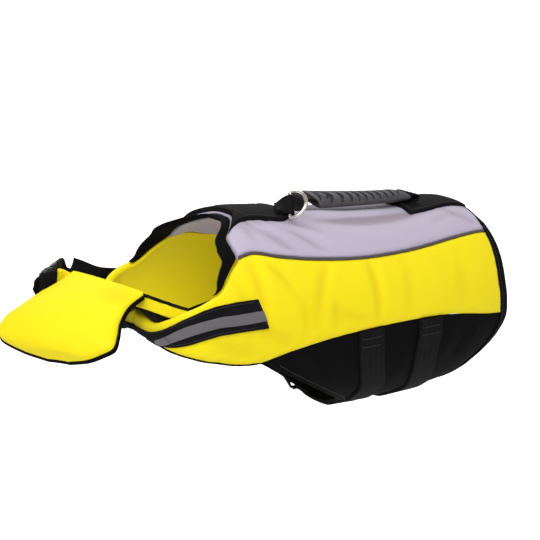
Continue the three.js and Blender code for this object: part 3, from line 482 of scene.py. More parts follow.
PIPING_SEAM = [(-172, 41.5), (-158, 40.7), (-132, 45.2), (-88, 48.2), (-40, 48.6), (10, 47),
               (60, 44.2), (106, 42), (146, 41)]
NECK_EDGE = [(0, -148), (7, -149.5), (16, -160), (25, -172), (33, -174), (41, -174.5), (47, -184),
             (52, -192), (59, -203), (64, -226)]
REAR_EDGE = [(0, 141), (22, 143), (38, 139.5), (58, 137), (76, 136), (90, 139), (106, 140),
             (121, 130.5), (140, 113), (160, 97), (200, 92)]
GREY_CREASES = [
    # s, phi, turn, long, wide, out, bow
    (-128, 33, 46, 26, 6, -1.1, 2),
    (-112, 30, 44, 26, 6, 1.0, 2),
    (-100, 32, 38, 30, 6.5, -1.2, 3),
    (-82, 32, 34, 30, 6, 0.9, 2),
    (-78, 27, 32, 28, 6, -1.0, 2),
    (-60, 36, 28, 26, 6, 0.6, 1),
    (-151, 26, 84, 16, 5, -0.8, 1),
    (-143, 18, 70, 8, 3.4, -1.3, 0),
    (-133, 19, 62, 8, 3.2, -1.0, 0),
    (-122, 18, 54, 7, 3, -0.7, 0),
    # Two deep troughs under the near side of the grip; the grey nylon paints them darker, a painted
    # shade under the handle.
    (-18, 17, 3, 40, 8.5, -3.0, 0),
    (36, 15, -2, 40, 7.5, -2.8, 0),
    (-46, 8.5, 0, 30, 8, 3.8, 0),
    (14, 8.5, 0, 40, 8, 2.4, 0),
    (-10, 33, 6, 50, 9, 0.5, 0),
    (88, 26, -20, 24, 7, -0.6, 2),
    (112, 22, 66, 14, 5, -0.9, 0),
    (124, 30, 60, 16, 5, -0.7, 2),
    (62, 36, -12, 30, 7, 0.5, 0),
]


def piping_angle(s):
    """The angle of the piping seam at s."""
    return read(PIPING_SEAM, s, 1)


def rear_edge(phi):
    """Where the panels end at the loin."""
    return read(REAR_EDGE, np.abs(phi), 1)


def neck_edge(phi):
    """Where the panels end at the neck."""
    return read(NECK_EDGE, np.abs(phi), 1)


SEAM_ROOM = 0.25
SEAM_DEPTH, SEAM_ROLL, SEAM_FLANGE = 3.3, 7.5, 1.2
EDGE_DEPTH, EDGE_ROLL = 2.6, 6


def back_lift(s, phi):
    """The back panel's face over the form: its creases, puckers at its seams, and the roll
    down into them. Also gives the relief alone."""
    to_piping = (piping_angle(s) - np.abs(phi)) * 1.85
    to_neck, to_rear = s - neck_edge(phi), rear_edge(phi) - s
    inside = ease(np.minimum(np.minimum(to_piping, to_neck), to_rear), 0, 12)
    relief = creases(GREY_CREASES, s, phi, -1) * inside
    relief += puckers(0.28, to_piping, 7, s + 3 * to_piping, 1.3)
    relief += puckers(0.35, to_neck, 6, phi * 1.7, 2.1)
    relief += puckers(0.30, to_rear, 6, phi * 1.7, 3.4)
    sink = np.maximum(roll(to_piping, SEAM_DEPTH, SEAM_ROLL, SEAM_FLANGE),
                      roll(np.minimum(to_neck, to_rear), EDGE_DEPTH, EDGE_ROLL))
    return relief * (1 - 0.8 * sink / SEAM_DEPTH) - sink, relief


u, v = grid(200, 100)
phi = (2 * v - 1) * 45
s = mix(neck_edge(phi), rear_edge(phi), u)
phi = (2 * v - 1) * (piping_angle(s) - SEAM_ROOM)
s = mix(neck_edge(phi), rear_edge(phi), u)
lift, relief = back_lift(s, phi)
back_panel = shell("back_panel_cloth", lifted(s, phi, -1, lift), lifted(s, phi, -1, 0 * s - WALL),
                   grey_nylon, relief)
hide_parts("back_panel")


# Side panels. Yellow nylon over foam, one on each side, from the loin to a wing that turns
# in across the chest. Sewn into the piping above and to the belly panel below; the wing's
# upper edge is turned and free, and its lower edge is bound in black.
LOWER_SEAM = [(-170, 98), (-134, 93), (-92, 90), (-24, 88.5), (42, 89), (88, 91.5), (140, 97)]
WING_TOP = [(-319.4, 76), (-292, 79.5), (-270, 75), (-246, 68.5), (-224, 64), (-203, 59.5),
            (-186, 49), (-173, 42.5), (-172, 41.7)]
WING_LOW = [(-319.4, 87.5), (-292, 89), (-269, 89.5), (-244, 91.5), (-220, 95), (-199, 97.5),
            (-182, 98), (-169, 97.5)]
FRONT = -319.4
YELLOW_CREASES = [
    (-164, 60, 86, 34, 6, -1.1, 2),
    (-152, 58, 80, 30, 6, 0.9, 2),
    (-136, 57, 50, 24, 6, -1.5, 4),
    (-124, 63, 66, 26, 6, 1.0, 3),
    (-96, 64, 118, 30, 6.5, -1.2, -4),
    (-82, 62, 112, 28, 6.5, 0.8, -3),
    (-84, 76, 90, 18, 6, -1.0, 0),
    (-118, 74, 86, 20, 6, -1.1, 2),
    (-33, 66, 90, 40, 5.5, -1.3, 2),
    (-20, 66, 90, 36, 6, 0.9, 2),
    (8, 70, 96, 34, 8, -0.7, 2),
    (44, 62, 84, 34, 9, 0.6, 2),
    (78, 72, 98, 30, 9, -0.6, -2),
    (104, 64, 80, 30, 8, 0.5, 2),
    (-60, 82, 20, 26, 6, -0.7, 2),
    (-148, 86, 24, 30, 7, -0.9, 3),
    (-182, 70, 84, 24, 6, -0.9, 2),
    (-196, 90, 12, 26, 6, -0.6, 0),
    (-236, 90, 6, 22, 6, 0.5, 0),
    (-258, 82, 72, 12, 6, -0.8, 0),
]


def lower_angle(s):
    """The angle of the seam between the side panel and the belly panel at s."""
    return read(LOWER_SEAM, s, 1)


def side_edges(s):
    """The angles of the side panel's upper and lower edge at s."""
    body_top = piping_angle(s) + SEAM_ROOM
    top = np.where(s > -172, body_top, read(WING_TOP, s, 1))
    low = np.where(s > -169, lower_angle(s) - 0.2, read(WING_LOW, s, 1))
    return top, low


def side_lift(s, phi, side):
    """The side panel's face over the form, its back, and its relief. Seams roll down as on
    the back panel; at the wing's free edges the face and the back meet half way in."""
    top, low = side_edges(s)
    to_top, to_low = (phi - top) * 1.8, (low - phi) * 1.7
    to_rear, to_front = rear_edge(phi) - s, s - FRONT
    free_top, free_low = ease(-s, 170, 178), ease(-s, 166, 176)
    near = np.minimum(np.minimum(to_top, to_low), np.minimum(to_rear, to_front))
    relief = creases(YELLOW_CREASES, s, phi, side) * ease(near, 0, 10)
    seamed = 1 - free_top
    relief += puckers(0.3 * seamed, to_top, 7, s + 2 * to_top, 4.2 + side)
    relief += puckers(0.34, to_low, 8, s * 0.9 - 2 * to_low, 5.7 + side)
    relief += puckers(0.32, to_rear, 7, phi * 1.7, 6.1 + side)
    seam_top = roll(to_top, SEAM_DEPTH, SEAM_ROLL, SEAM_FLANGE)
    edge_top = roll(to_top, WALL / 2, 5)
    seam_low = roll(to_low, 2.4, 6)
    edge_low = roll(to_low, WALL / 2, 5)
    sink = np.maximum(mix(seam_top, edge_top, free_top), mix(seam_low, edge_low, free_low))
    sink = np.maximum(sink, np.maximum(roll(to_rear, EDGE_DEPTH, EDGE_ROLL),
                                       roll(to_front, 2.0, 4)))
    rise = np.maximum(edge_top * free_top, edge_low * free_low)
    return relief * (1 - 0.8 * sink / 4) - sink, rise - WALL, relief


# Yellow nylon: the second colour is the painted shade in its troughs and its darker grain, the
# third its mottle and the painted highlight on its ridges.
yellow_nylon = nylon("yellow_nylon", (0.94, 0.765, 0.001), (0.79, 0.55, 0.0), (0.98, 0.84, 0.012),
                     Roughness=0.62, Sheen_Weight=0.04, Sheen_Roughness=0.5,
                     Specular_IOR_Level=0.22)
for label, side in (("left", -1), ("right", 1)):
    u, v = grid(270, 66)
    phi = mix(45, 90, v)
    for _ in range(4):
        s = mix(rear_edge(phi) - 0.3, FRONT, u)
        top, low = side_edges(s)
        phi = mix(top, low, v)
    lift, under, relief = side_lift(s, phi, side)
    panel = shell(f"side_panel_cloth_{label}", lifted(s, phi, side, lift),
                  lifted(s, phi, side, under), yellow_nylon, relief)
    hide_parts(f"side_panel_{label}")


# Piping. A round cord wrapped in dark grey cloth, sewn into the seam between the back panel
# and each side panel from the neck to the loin, where it lies half sunk between their rolls.
PIPING_RADIUS, PIPING_FROM, PIPING_TO = 1.5, -173, 138.2


def tube(n, m, looped=False):
    """The faces round n rings of m points; the end rings are joined to each other or capped."""
    at = np.arange(n * m).reshape(n, m)
    if looped:
        at = np.concatenate([at, at[:1]])
    after = np.roll(at, -1, axis=1)
    sides = quads(at[:-1], at[1:], after[1:], after[:-1])
    return [sides] if looped else [sides, at[:1, ::-1], at[-1:]]


def carried(name, centres, first, second, outline, material, body="jacket", looped=False):
    """An outline carried along a path: each centre plus the outline's points, in mm, along the
    first and the second direction there."""
    outline = np.asarray(outline, float)
    if outline.ndim == 2:
        outline = np.broadcast_to(outline, (len(centres), *outline.shape))
    points = (centres[:, None] + outline[..., :1] * first[:, None]
              + outline[..., 1:] * second[:, None])
    n, m = points.shape[:2]
    u, v = np.meshgrid(travelled(centres), travelled(outline[0]), indexing="ij")
    uv = np.stack([u.ravel(), v.ravel()], 1)
    return put_mesh(name, points.reshape(-1, 3), tube(n, m, looped), material, uv, body=body)


def circle(radius, sides):
    """The points of a circle."""
    turn = np.arange(sides) * 2 * math.pi / sides
    return np.stack([np.cos(turn), np.sin(turn)], 1) * radius


piping_cloth = nylon("piping_cloth", (0.055, 0.042, 0.058), (0.04, 0.03, 0.04), (0.085, 0.07, 0.09),
                     threads=240, bump=0.2, Roughness=0.6, Sheen_Weight=0.2)
for label, side in (("left", -1), ("right", 1)):
    s = np.linspace(PIPING_FROM, PIPING_TO, 260)
    phi = piping_angle(s) + 0.06 * uneven(s, 2.2)
    down = unit(form(s, phi + 1, side) - form(s, phi - 1, side))
    centres = lifted(s, phi, side, 0 * s - PIPING_RADIUS - 0.25)
    piping = carried(f"piping_cord_{label}", centres, outward(s, phi, side), down,
                     circle(PIPING_RADIUS, 12), piping_cloth)
    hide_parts(f"piping_{label}")


# Belly panels. Thin black cloth, hemmed at the free edge behind the front legs, sewn to the
# side panels above and bound at the loin. The left one laps over the right one under the belly.
BELLY_SINK, BELLY_WALL = 2.6, 3
BELLY_END = {-1: 188, 1: 176}
LAP_FROM, LAP_TO, LAP_LIFT = 158, 172, BELLY_WALL + 0.3
BELLY_FRONT = [(97, -163), (105, -142), (112, -122), (124, -92), (138, -63), (151, -47),
               (166, -41), (200, -40)]
BELLY_CREASES = [
    (-118, 103, 50, 34, 8, 1.3, -4),
    (-104, 99, 56, 26, 7, -1.0, -3),
    (-86, 112, 62, 26, 8, 0.9, -3),
    (-70, 100, 80, 18, 7, -0.7, 0),
    (-8, 104, 84, 26, 8, -0.9, 2),
    (8, 112, 96, 28, 8, 0.8, 2),
    (64, 106, 100, 26, 8, 0.9, 3),
    (82, 108, 108, 24, 7, -0.8, 3),
    (104, 104, 116, 20, 7, 0.7, 0),
    (-30, 150, 20, 30, 9, 0.8, 0),
    (40, 148, -16, 34, 9, -0.8, 0),
    (0, 170, 4, 40, 10, 0.6, 0),
]


def belly_lift(s, phi, side):
    """The belly panel's face over the form, with its lap, puckers at the seams and a hem."""
    lap = ease(phi, LAP_FROM, LAP_TO) * LAP_LIFT * (side < 0)
    to_seam = (phi - lower_angle(s)) * 1.7
    to_front = s - read(BELLY_FRONT, phi, 1)
    to_rear = rear_edge(phi) - s
    inside = ease(np.minimum(np.minimum(to_seam, to_front), to_rear), 0, 10)
    relief = creases(BELLY_CREASES, s, phi, side) * inside
    relief += puckers(0.3, to_seam, 8, s + 2 * to_seam, 7.3 + side)
    relief += puckers(0.2, to_front, 9, phi * 1.7, 8.1 + side)
    relief -= 0.35 * np.exp(-((to_front - 9) / 1.1) ** 2)
    sink = np.maximum(roll(to_front, 1.4, 1.8), roll(to_seam, 0.8, 3))
    return relief - sink + lap - BELLY_SINK, relief


# Black cloth: the second colour is the painted shade in its troughs and its darker grain, the third
# its mottle and the painted highlight on its ridges.
black_cloth = nylon("black_cloth", (0.003, 0.003, 0.0034), (0.002, 0.002, 0.0023),
                    (0.006, 0.006, 0.007), threads=120, bump=0.25, Roughness=0.72,
                    Specular_IOR_Level=0.05)
for label, side in (("left", -1), ("right", 1)):
    u, v = grid(120, 86)
    phi = mix(90, BELLY_END[side], v)
    for _ in range(5):
        s = mix(rear_edge(phi) - 0.3, read(BELLY_FRONT, phi, 1), u)
        phi = mix(lower_angle(s) + 0.2, BELLY_END[side], v)
    lift, relief = belly_lift(s, phi, side)
    base = ease(phi, LAP_FROM, LAP_TO) * LAP_LIFT * (side < 0) - BELLY_SINK
    under = np.minimum(lift - 1.2, base - BELLY_WALL + 0 * s)
    panel = shell(f"belly_panel_cloth_{label}", lifted(s, phi, side, lift),
                  lifted(s, phi, side, under), black_cloth, relief)
    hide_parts(f"belly_panel_{label}")


# Stitches. Black thread, about three to the centimetre: each one is a short lozenge of
# thread that lies on the cloth and dips into it at both ends.
black_thread, tree, shader = principled("black_thread", (0.02, 0.02, 0.023), Roughness=0.55)
where = add_node(tree, "ShaderNodeTexCoord")
strands = add_node(tree, "ShaderNodeTexNoise", {"Vector": where.outputs["Object"], "Scale": 2500.0})
paint(tree, shader, strands.outputs[0], (0.012, 0.012, 0.014), (0.045, 0.045, 0.05))
emboss(tree, shader, strands.outputs[0], 0.4, 0.0001)


def sew(name, lines, pitch=3.3, thread=0.34):
    """Rows of stitches in one mesh. Each line is a path with the way out of the cloth along it:
    a stitch is five rings of six points, thin at its ends and thick in the middle."""
    along, wide = np.array([-0.42, -0.26, 0, 0.26, 0.42]), np.array([0.3, 0.9, 1.0, 0.9, 0.3])
    blocks = []
    for path, out in lines:
        far = travelled(path)
        middles = np.arange(0.6 * pitch, far[-1] - 0.5 * pitch, pitch)
        at = np.stack([np.interp(middles, far, path[:, k]) for k in range(3)], 1)
        ahead = np.stack([np.interp(middles + 0.3, far, path[:, k]) for k in range(3)], 1)
        up = unit(np.stack([np.interp(middles, far, out[:, k]) for k in range(3)], 1))
        tangent = unit(ahead - at)
        across = unit(np.cross(up, tangent))
        turn = np.arange(6) * math.pi / 3
        ring = across[:, None] * np.cos(turn)[:, None] + up[:, None] * np.sin(turn)[:, None]
        spine = at[:, None] + tangent[:, None] * (along * pitch)[:, None]
        spine = spine + up[:, None] * (thread * (0.9 * wide - 0.35))[:, None]
        blocks.append(spine[:, :, None] + ring[:, None] * (thread * wide)[:, None, None])
    points = np.concatenate(blocks)
    count = len(points)
    at = np.arange(count * 30).reshape(count, 5, 6)
    after = np.roll(at, -1, axis=2)
    sides = quads(at[:, :-1], at[:, 1:], after[:, 1:], after[:, :-1])
    faces = [sides, at[:, 0, ::-1], at[:, -1]]
    piece = put_mesh(name, points.reshape(-1, 3), faces, black_thread, sharp=80)
    return piece


def line_on(s, phi, side, lift):
    """A path on the form and the way out along it, for a row of stitches."""
    s, phi, lift = np.broadcast_arrays(s, phi, lift)
    return lifted(s, phi, side, lift), outward(s, phi, side)


hem_lines = []
for side in (-1, 1):
    phi = np.linspace(100, BELLY_END[side] - 1, 400)
    s = read(BELLY_FRONT, phi, 1) + 9
    hem_lines.append(line_on(s, phi, side, belly_lift(s, phi, side)[0]))
sew("belly_hem_stitches", hem_lines)


# Belly straps. Black webbing 31 mm wide, sewn into the lower seam on each side. The left
# ones run under the belly to buckles on the right side; the front one is tacked near its
# top, and the rear one is folded over there.
STRAP_HALF, WEBBING, STRAP_LIFT = 15.5, 2.2, 0.5
BELLY_STRAPS = {
    "front": [(88, -42.5), (100, -40), (112, -35), (131, -24), (272, -20)],
    "rear": [(88, 34), (98, 34), (111, 34), (126, 39), (142, 46), (272, 44)],
}
BUCKLE_AT, BUCKLE_OUT, BUCKLE_SPAN, STRAP_LEAVES = 142, 4.6, 17.5, 12
BUCKLE_LENGTH, BUCKLE_WIDTH, BUCKLE_DEPTH = 60, 36, 8

# Webbing weave: a herringbone of fine ribs, whose slant turns over every few millimetres
herring, given, result = new_group(
    "herringbone",
    {"Vector": "NodeSocketVector", "Ribs": "NodeSocketFloat", "Column": "NodeSocketFloat"},
    {"Height": "NodeSocketFloat"},
)
apart = add_node(herring, "ShaderNodeSeparateXYZ", {0: given.outputs["Vector"]})
slant = maths(herring, "PINGPONG", apart.outputs[1], given.outputs["Column"])
phase = maths(herring, "MULTIPLY", maths(herring, "ADD", apart.outputs[0], slant),
              maths(herring, "MULTIPLY", given.outputs["Ribs"], 2 * math.pi))
rib = maths(herring, "MULTIPLY_ADD", maths(herring, "SINE", phase), 0.5, 0.5)
herring.links.new(maths(herring, "POWER", rib, 0.7), result.inputs["Height"])


def webbing(name, colour, mottle_and_highlight, ribs=70, bump=0.5, **constants):
    """Woven webbing: a herringbone as bump and as a painted highlight on the rib tops, over a
    slight mottle.
    """
    material, tree, shader = principled(name, colour, **constants)
    where = add_node(tree, "ShaderNodeTexCoord")
    height = add_node(tree, "ShaderNodeGroup", {"Vector": where.outputs["UV"], "Ribs": ribs,
                                                "Column": 0.035}, node_tree=herring).outputs[0]
    # Painted highlight: the rib tops are mixed towards the paler colour by their height, over the
    # mottle.
    share = maths(tree, "MULTIPLY_ADD", clouds_of(tree, 60), 0.5,
                  maths(tree, "MULTIPLY", height, 0.4))
    paint(tree, shader, share, colour, mottle_and_highlight)
    emboss(tree, shader, height, bump, 0.0003)
    return material


# The second colour is the mottle and the painted highlight on the rib tops.
black_webbing = webbing("black_webbing", (0.004, 0.0037, 0.0043), (0.010, 0.009, 0.0105),
                        Roughness=0.66, Specular_IOR_Level=0.07)


def buckle_frame(table):
    """A belly buckle's middle, the way down the strap and the way out of the cloth."""
    s = read(table, 360 - BUCKLE_AT, 1)
    at = lifted(s, BUCKLE_AT, 1, BUCKLE_OUT - BELLY_SINK)
    down = unit(form(s, BUCKLE_AT + 1, 1) - form(s, BUCKLE_AT - 1, 1))
    return at, down, outward(s, BUCKLE_AT, 1)


for place, table in BELLY_STRAPS.items():
    table = np.array(table)
    middle, down, out = buckle_frame(table)
    for label, side in (("left", -1), ("right", 1)):
        end = (360 if side < 0 else 0) + side * BUCKLE_AT - BUCKLE_SPAN
        u, v = grid(200 if side < 0 else 70, 16)
        across = (2 * v - 1) * STRAP_HALF
        phi = mix(lower_angle(table[0, 1] + across) + 0.3, end, u)
        s = read(table, phi if side < 0 else 360 - phi, 1) + across
        if side < 0:
            lap = (ease(phi, LAP_FROM, LAP_TO) - ease(phi, 188.5, 194)) * LAP_LIFT
        else:
            lap = 0 * phi
        over = np.where(phi < BELLY_END[-1] - 4, belly_lift(s, phi, side)[1], 0) * 0.7
        lay = lap - BELLY_SINK + STRAP_LIFT + over * ease(phi, 90, 96) * ease(-phi, -180, -166)
        fold = 0.9 * ease(-phi, -98.5, -97.5) if place == "rear" else 0 * phi
        thick = (WEBBING + fold) * rim(np.minimum(v, 1 - v) * 2 * STRAP_HALF, 0.9, 0.3)
        leave = ease(phi, end - STRAP_LEAVES, end)[..., None]
        start = middle - side * down * (BUCKLE_LENGTH / 2 + 0.3)
        row = start + across[..., None] * np.array([1, 0, 0])
        threaded = row + out * (thick - WEBBING / 2)[..., None]
        under = row - out * WEBBING / 2
        strap = shell(f"belly_strap_{place}_webbing_{label}",
                      mix(lifted(s, phi, side, lay + thick), threaded, leave),
                      mix(lifted(s, phi, side, lay), under, leave), black_webbing)
        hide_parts(f"belly_strap_{place}_{label}")

tacks = []
for table, angles in ((BELLY_STRAPS["front"], (92.5, 96.8)), (BELLY_STRAPS["rear"], (92.5, 96.4))):
    for angle in angles:
        for side in (-1, 1):
            s = read(table, angle, 1) + np.linspace(-13, 13, 30)
            lay = belly_lift(s, angle + 0 * s, side)[0] + STRAP_LIFT + WEBBING
            tacks.append(line_on(s, angle + 0 * s, side, lay + (0.9 if table[0][1] > 0 else 0)))
sew("belly_strap_stitches", tacks)


# Buckles. Side release buckles in black acetal plastic: a socket with a window at each side,
# a plug whose two prongs show in them, and a bar at each end for the strap.
buckle_plastic, tree, shader = principled("buckle_plastic", (0.008, 0.008, 0.009), Roughness=0.34)
where = add_node(tree, "ShaderNodeTexCoord")
clouds = clouds_of(tree, 90)
spark = add_node(tree, "ShaderNodeTexVoronoi", {"Vector": where.outputs["Object"], "Scale": 1800.0})
paint(tree, shader, clouds, (0.006, 0.006, 0.007), (0.013, 0.013, 0.014))
dull(tree, shader, clouds, 0.28, 0.42)
emboss(tree, shader, spark.outputs["Distance"], 0.12, 0.00008)


def rounded(half_wide, half_deep, square, sides=28):
    """A superellipse outline; square is 1 for an ellipse and nears 0 for a rectangle."""
    turn = (np.arange(sides) + 0.5) * 2 * math.pi / sides
    c, w = np.cos(turn), np.sin(turn)
    return np.stack([np.sign(c) * np.abs(c) ** square * half_wide,
                     np.sign(w) * np.abs(w) ** square * half_deep], 1)


def moulding(rows, length, width, depth):
    """Points and faces of a moulded body: a superellipse for each row of x, y, half width,
    half depth and z, as shares of the length, half width and half depth, with capped ends."""
    rings = []
    for x, y, wide, deep, z, square in rows:
        outline = rounded(wide * width / 2, deep * depth / 2, square)
        rings.append(np.column_stack([np.full(len(outline), x * length / 2),
                                      outline[:, 0] + y * width / 2,
                                      outline[:, 1] + z * depth / 2]))
    points = np.array(rings)
    return points.reshape(-1, 3), tube(*points.shape[:2])


def bar_loop(x_from, x_to, half_wide, wire, length):
    """A rounded rectangular ring that holds a strap, from one x to another."""
    count, sides = 56, 10
    turn = np.arange(count) * 2 * math.pi / count
    c, w = np.cos(turn), np.sin(turn)
    middle, half = (x_from + x_to) / 4 * length, (x_to - x_from) / 4 * length
    path = np.column_stack([middle + np.sign(c) * np.abs(c) ** 0.25 * half,
                            np.sign(w) * np.abs(w) ** 0.16 * half_wide, 0 * turn])
    tangent = unit(np.roll(path, -1, axis=0) - np.roll(path, 1, axis=0))
    across = np.cross(tangent, [0, 0, 1])
    outline = rounded(wire, wire * 0.9, 0.7, sides)
    points = (path[:, None] + across[:, None] * outline[:, :1]
              + np.array([0, 0, 1]) * outline[:, 1:])
    return points.reshape(-1, 3), tube(count, sides, looped=True)


# x, y, half width, half depth, z, squareness, all but the last as shares of the buckle
SOCKET = [
    (-0.02, 0, 0.80, 0.70, 0, 0.45), (-0.03, 0, 0.90, 0.86, 0, 0.42),
    (-0.07, 0, 0.93, 0.96, 0, 0.4), (-0.20, 0, 0.95, 1.0, 0, 0.4),
    (-0.24, 0, 0.84, 1.0, 0, 0.4), (-0.46, 0, 0.84, 1.0, 0, 0.4),
    (-0.50, 0, 0.98, 1.0, 0, 0.4), (-0.60, 0, 0.99, 0.94, 0, 0.42), (-0.68, 0, 0.97, 0.8, 0, 0.45),
    (-0.73, 0, 0.9, 0.5, 0, 0.6),
]
SOCKET_RIDGE = [(-0.12, 0, 0.30, 0.1, 0.98, 0.6), (-0.16, 0, 0.42, 0.14, 1.02, 0.6),
                (-0.5, 0, 0.30, 0.14, 1.04, 0.6), (-0.6, 0, 0.16, 0.08, 0.98, 0.6)]
PLUG = [
    (0.01, 0, 0.88, 0.60, 0, 0.45), (0.03, 0, 0.94, 0.72, 0, 0.42), (0.30, 0, 0.97, 0.72, 0, 0.4),
    (0.42, 0, 0.98, 0.66, 0, 0.42), (0.48, 0, 0.94, 0.45, 0, 0.5),
]
PRONG = [(-0.19, 0.84, 0.06, 0.5, 0, 0.6), (-0.22, 0.87, 0.11, 0.62, 0, 0.6),
         (-0.34, 0.9, 0.12, 0.66, 0, 0.6), (-0.46, 0.88, 0.11, 0.62, 0, 0.6),
         (-0.50, 0.84, 0.06, 0.5, 0, 0.6)]


def turned_over(rows):
    """The same rows on the other side of the buckle."""
    return [(x, -y, *rest) for x, y, *rest in rows]


def add_buckle(name, nodes, length, width, depth, at, along, back):
    """Both halves of a buckle: its middle at a point, its length along one direction (the plug
    ahead) and its upper face to another."""
    third = unit(np.cross(back, along))
    turn = np.stack([along, third, np.cross(along, third)])
    wire = depth * 0.19
    halves = {
        "socket": [moulding(SOCKET, length, width, depth),
                   moulding(SOCKET_RIDGE, length, width, depth),
                   bar_loop(-0.94, -0.66, width * 0.44, wire, length)],
        "plug": [moulding(PLUG, length, width, depth), moulding(PRONG, length, width, depth),
                 moulding(turned_over(PRONG), length, width, depth),
                 bar_loop(0.46, 0.70, width * 0.44, wire, length),
                 bar_loop(0.68, 0.94, width * 0.44, wire, length)],
    }
    for (half, bodies), node in zip(halves.items(), nodes):
        points, faces, start = [], [], 0
        for some, quads in bodies:
            points.append(at + some @ turn)
            faces += [q + start for q in quads]
            start += len(some)
        points = np.concatenate(points)
        piece = put_mesh(f"{name}_{half}", points, faces, buckle_plastic, sharp=50)
        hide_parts(node)


for place, table in BELLY_STRAPS.items():
    middle, down, out = buckle_frame(np.array(table))
    nodes = [f"belly_buckle_{place}_female", f"belly_buckle_{place}_male"]
    add_buckle(f"{place}_belly_buckle", nodes, BUCKLE_LENGTH, BUCKLE_WIDTH, BUCKLE_DEPTH,
               middle, down, out)


# Rear binding. A black knit band folded over the loin edge of all the panels and sewn through,
# 15 mm wide over the back, where it laps over the panel's face, and narrower under the belly.
BINDING_WIDTH, BINDING_LIP, BINDING_CUT = 15, 4, 34
BINDING_FORM = [
    # place round the section, share of the width, share of the height from the inner face
    (0, 0, 0.02), (0.07, 0, 0.45), (0.13, 0.0, 0.84), (0.18, 0.05, 0.95), (0.26, 0.24, 1.0),
    (0.36, 0.52, 0.98), (0.45, 0.78, 0.90), (0.51, 0.92, 0.74), (0.57, 0.98, 0.52),
    (0.63, 0.94, 0.28), (0.70, 0.8, 0.10), (0.80, 0.55, 0.02), (0.9, 0.25, 0.0), (1, 0, 0.02),
]


def binding_faces(angle, side):
    """Where the binding starts along the torso at an angle, and its outer and inner lift."""
    lap = ease(angle, LAP_FROM, LAP_TO) * LAP_LIFT * (side < 0)
    thin = ease(angle, 84, 104)
    start = rear_edge(angle) + 0.3
    return start, mix(-0.6, -1.0, thin) + lap, mix(-8, -5.6, thin) + lap


def binding_width(angle):
    """The binding's width along the torso, less under the belly."""
    return BINDING_WIDTH * (1 - 0.3 * ease(angle, 120, 165))


def binding_rings(angle, side):
    """Sections of the binding, gathered a little where it is sewn."""
    start, top, low = (x[:, None] for x in binding_faces(angle, side))
    t = np.linspace(0, 1, 34)[None, :-1]
    width = binding_width(angle)[:, None]
    out, share = read(BINDING_FORM, t, 1), read(BINDING_FORM, t, 2)
    arc = angle[:, None] * MM_PER_DEGREE
    gather = 0.3 * uneven(arc + 4 * out, 3.7 + side) * share
    gather = gather * np.sin(math.pi * np.minimum(out * 1.2, 1))
    sewn = -0.45 * np.exp(-((out - 0.2) / 0.055) ** 2) * share
    lip = ease(-angle, -60, -48)[:, None] * np.exp(-((t - 0.19) / 0.045) ** 2)
    s = start + out * width - BINDING_LIP * lip
    return lifted(s, angle[:, None] + 0 * s, side, mix(low, top, share) + gather + sewn + 1.5 * lip)


rings = np.concatenate([binding_rings(np.linspace(176, 0, 260), 1),
                        binding_rings(np.linspace(0, 188, 290)[1:], -1)])
n, m = rings.shape[:2]
u, v = np.meshgrid(lengths(rings, 0), np.linspace(0, BINDING_CUT, m), indexing="ij")
binding = put_mesh("rear_binding_cloth", rings.reshape(-1, 3), tube(n, m), black_cloth,
                   np.stack([u.ravel(), v.ravel()], 1))
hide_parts("rear_binding")

seam = []
for side, last in ((-1, 186), (1, 174)):
    angle = np.linspace(1, last, 500)
    start, top, _ = binding_faces(angle, side)
    seam.append(line_on(start + 0.2 * binding_width(angle), angle, side, top - 0.42))
sew("rear_binding_stitches", seam)


# Neck collar. A black stretch band, doubled, sewn to the neck edge from one shoulder to the
# other; it stands forward of the seam and flares over the shoulders.
COLLAR = [(0, 12, 1.5), (16, 10, 2.5), (30, 14.5, 5), (37, 17.5, 5.5), (44, 15, 4.5), (52, 10, 2.5),
          (60, 3, 0.5)]
COLLAR_WALL, COLLAR_SINK = 4, 2.6


def collar_lift(v, phi, width):
    """The collar's outer face at a share v of its width from the seam."""
    flare = read(COLLAR, np.abs(phi), 2)
    near, far = v * width, (1 - v) * width
    relief = puckers(0.35, near, 5, phi * 1.6, 2.9)
    relief += puckers(0.30, far, 4, phi * 1.1, 6.7)
    relief -= 0.5 * np.exp(-((v - 0.62) / 0.07) ** 2) * ease(width, 5, 12)
    lift = flare * v ** 1.4 - COLLAR_SINK
    return lift + relief - roll(far, 1.9, 2.4) - roll(near, 0.8, 2), relief


u, v = grid(200, 28)
phi = mix(-60, 60, u)
width = read(COLLAR, np.abs(phi), 1)
s = neck_edge(phi) - 1.2 - v * width
lift, relief = collar_lift(v, phi, width)
under = (read(COLLAR, np.abs(phi), 2) * v ** 1.4 - COLLAR_SINK - COLLAR_WALL
         + roll((1 - v) * width, 1.9, 2.4))
collar = shell("neck_collar_cloth", lifted(s, phi, -1, lift), lifted(s, phi, -1, under),
               black_cloth, relief)
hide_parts("neck_collar")


# Spine webbing. Wide webbing in two layers along the spine, before and behind the handle,
# box stitched to the back panel. The front length starts at the neck and carries the D-ring.
SPINE_FRONT = [(-173, 40), (-158, 31), (-144, 27.5), (-128, 29), (-106, 33), (-88, 26)]
SPINE_REAR = [(62, 29), (88, 28.5), (104, 25.5), (118, 25), (146, 27)]
WEB_INSET, LAYER, REAR_UPPER, WEB_LIFT = 0.5, 1.6, 1.1, 0.3


def across_back(s, reach):
    """The angle at a signed distance in mm from the spine."""
    share = np.abs(reach) / read(TORSO, s, 1)
    return np.sign(reach) * np.degrees(np.arcsin(np.clip(share, 0, 1) ** (FULLNESS / 2)))


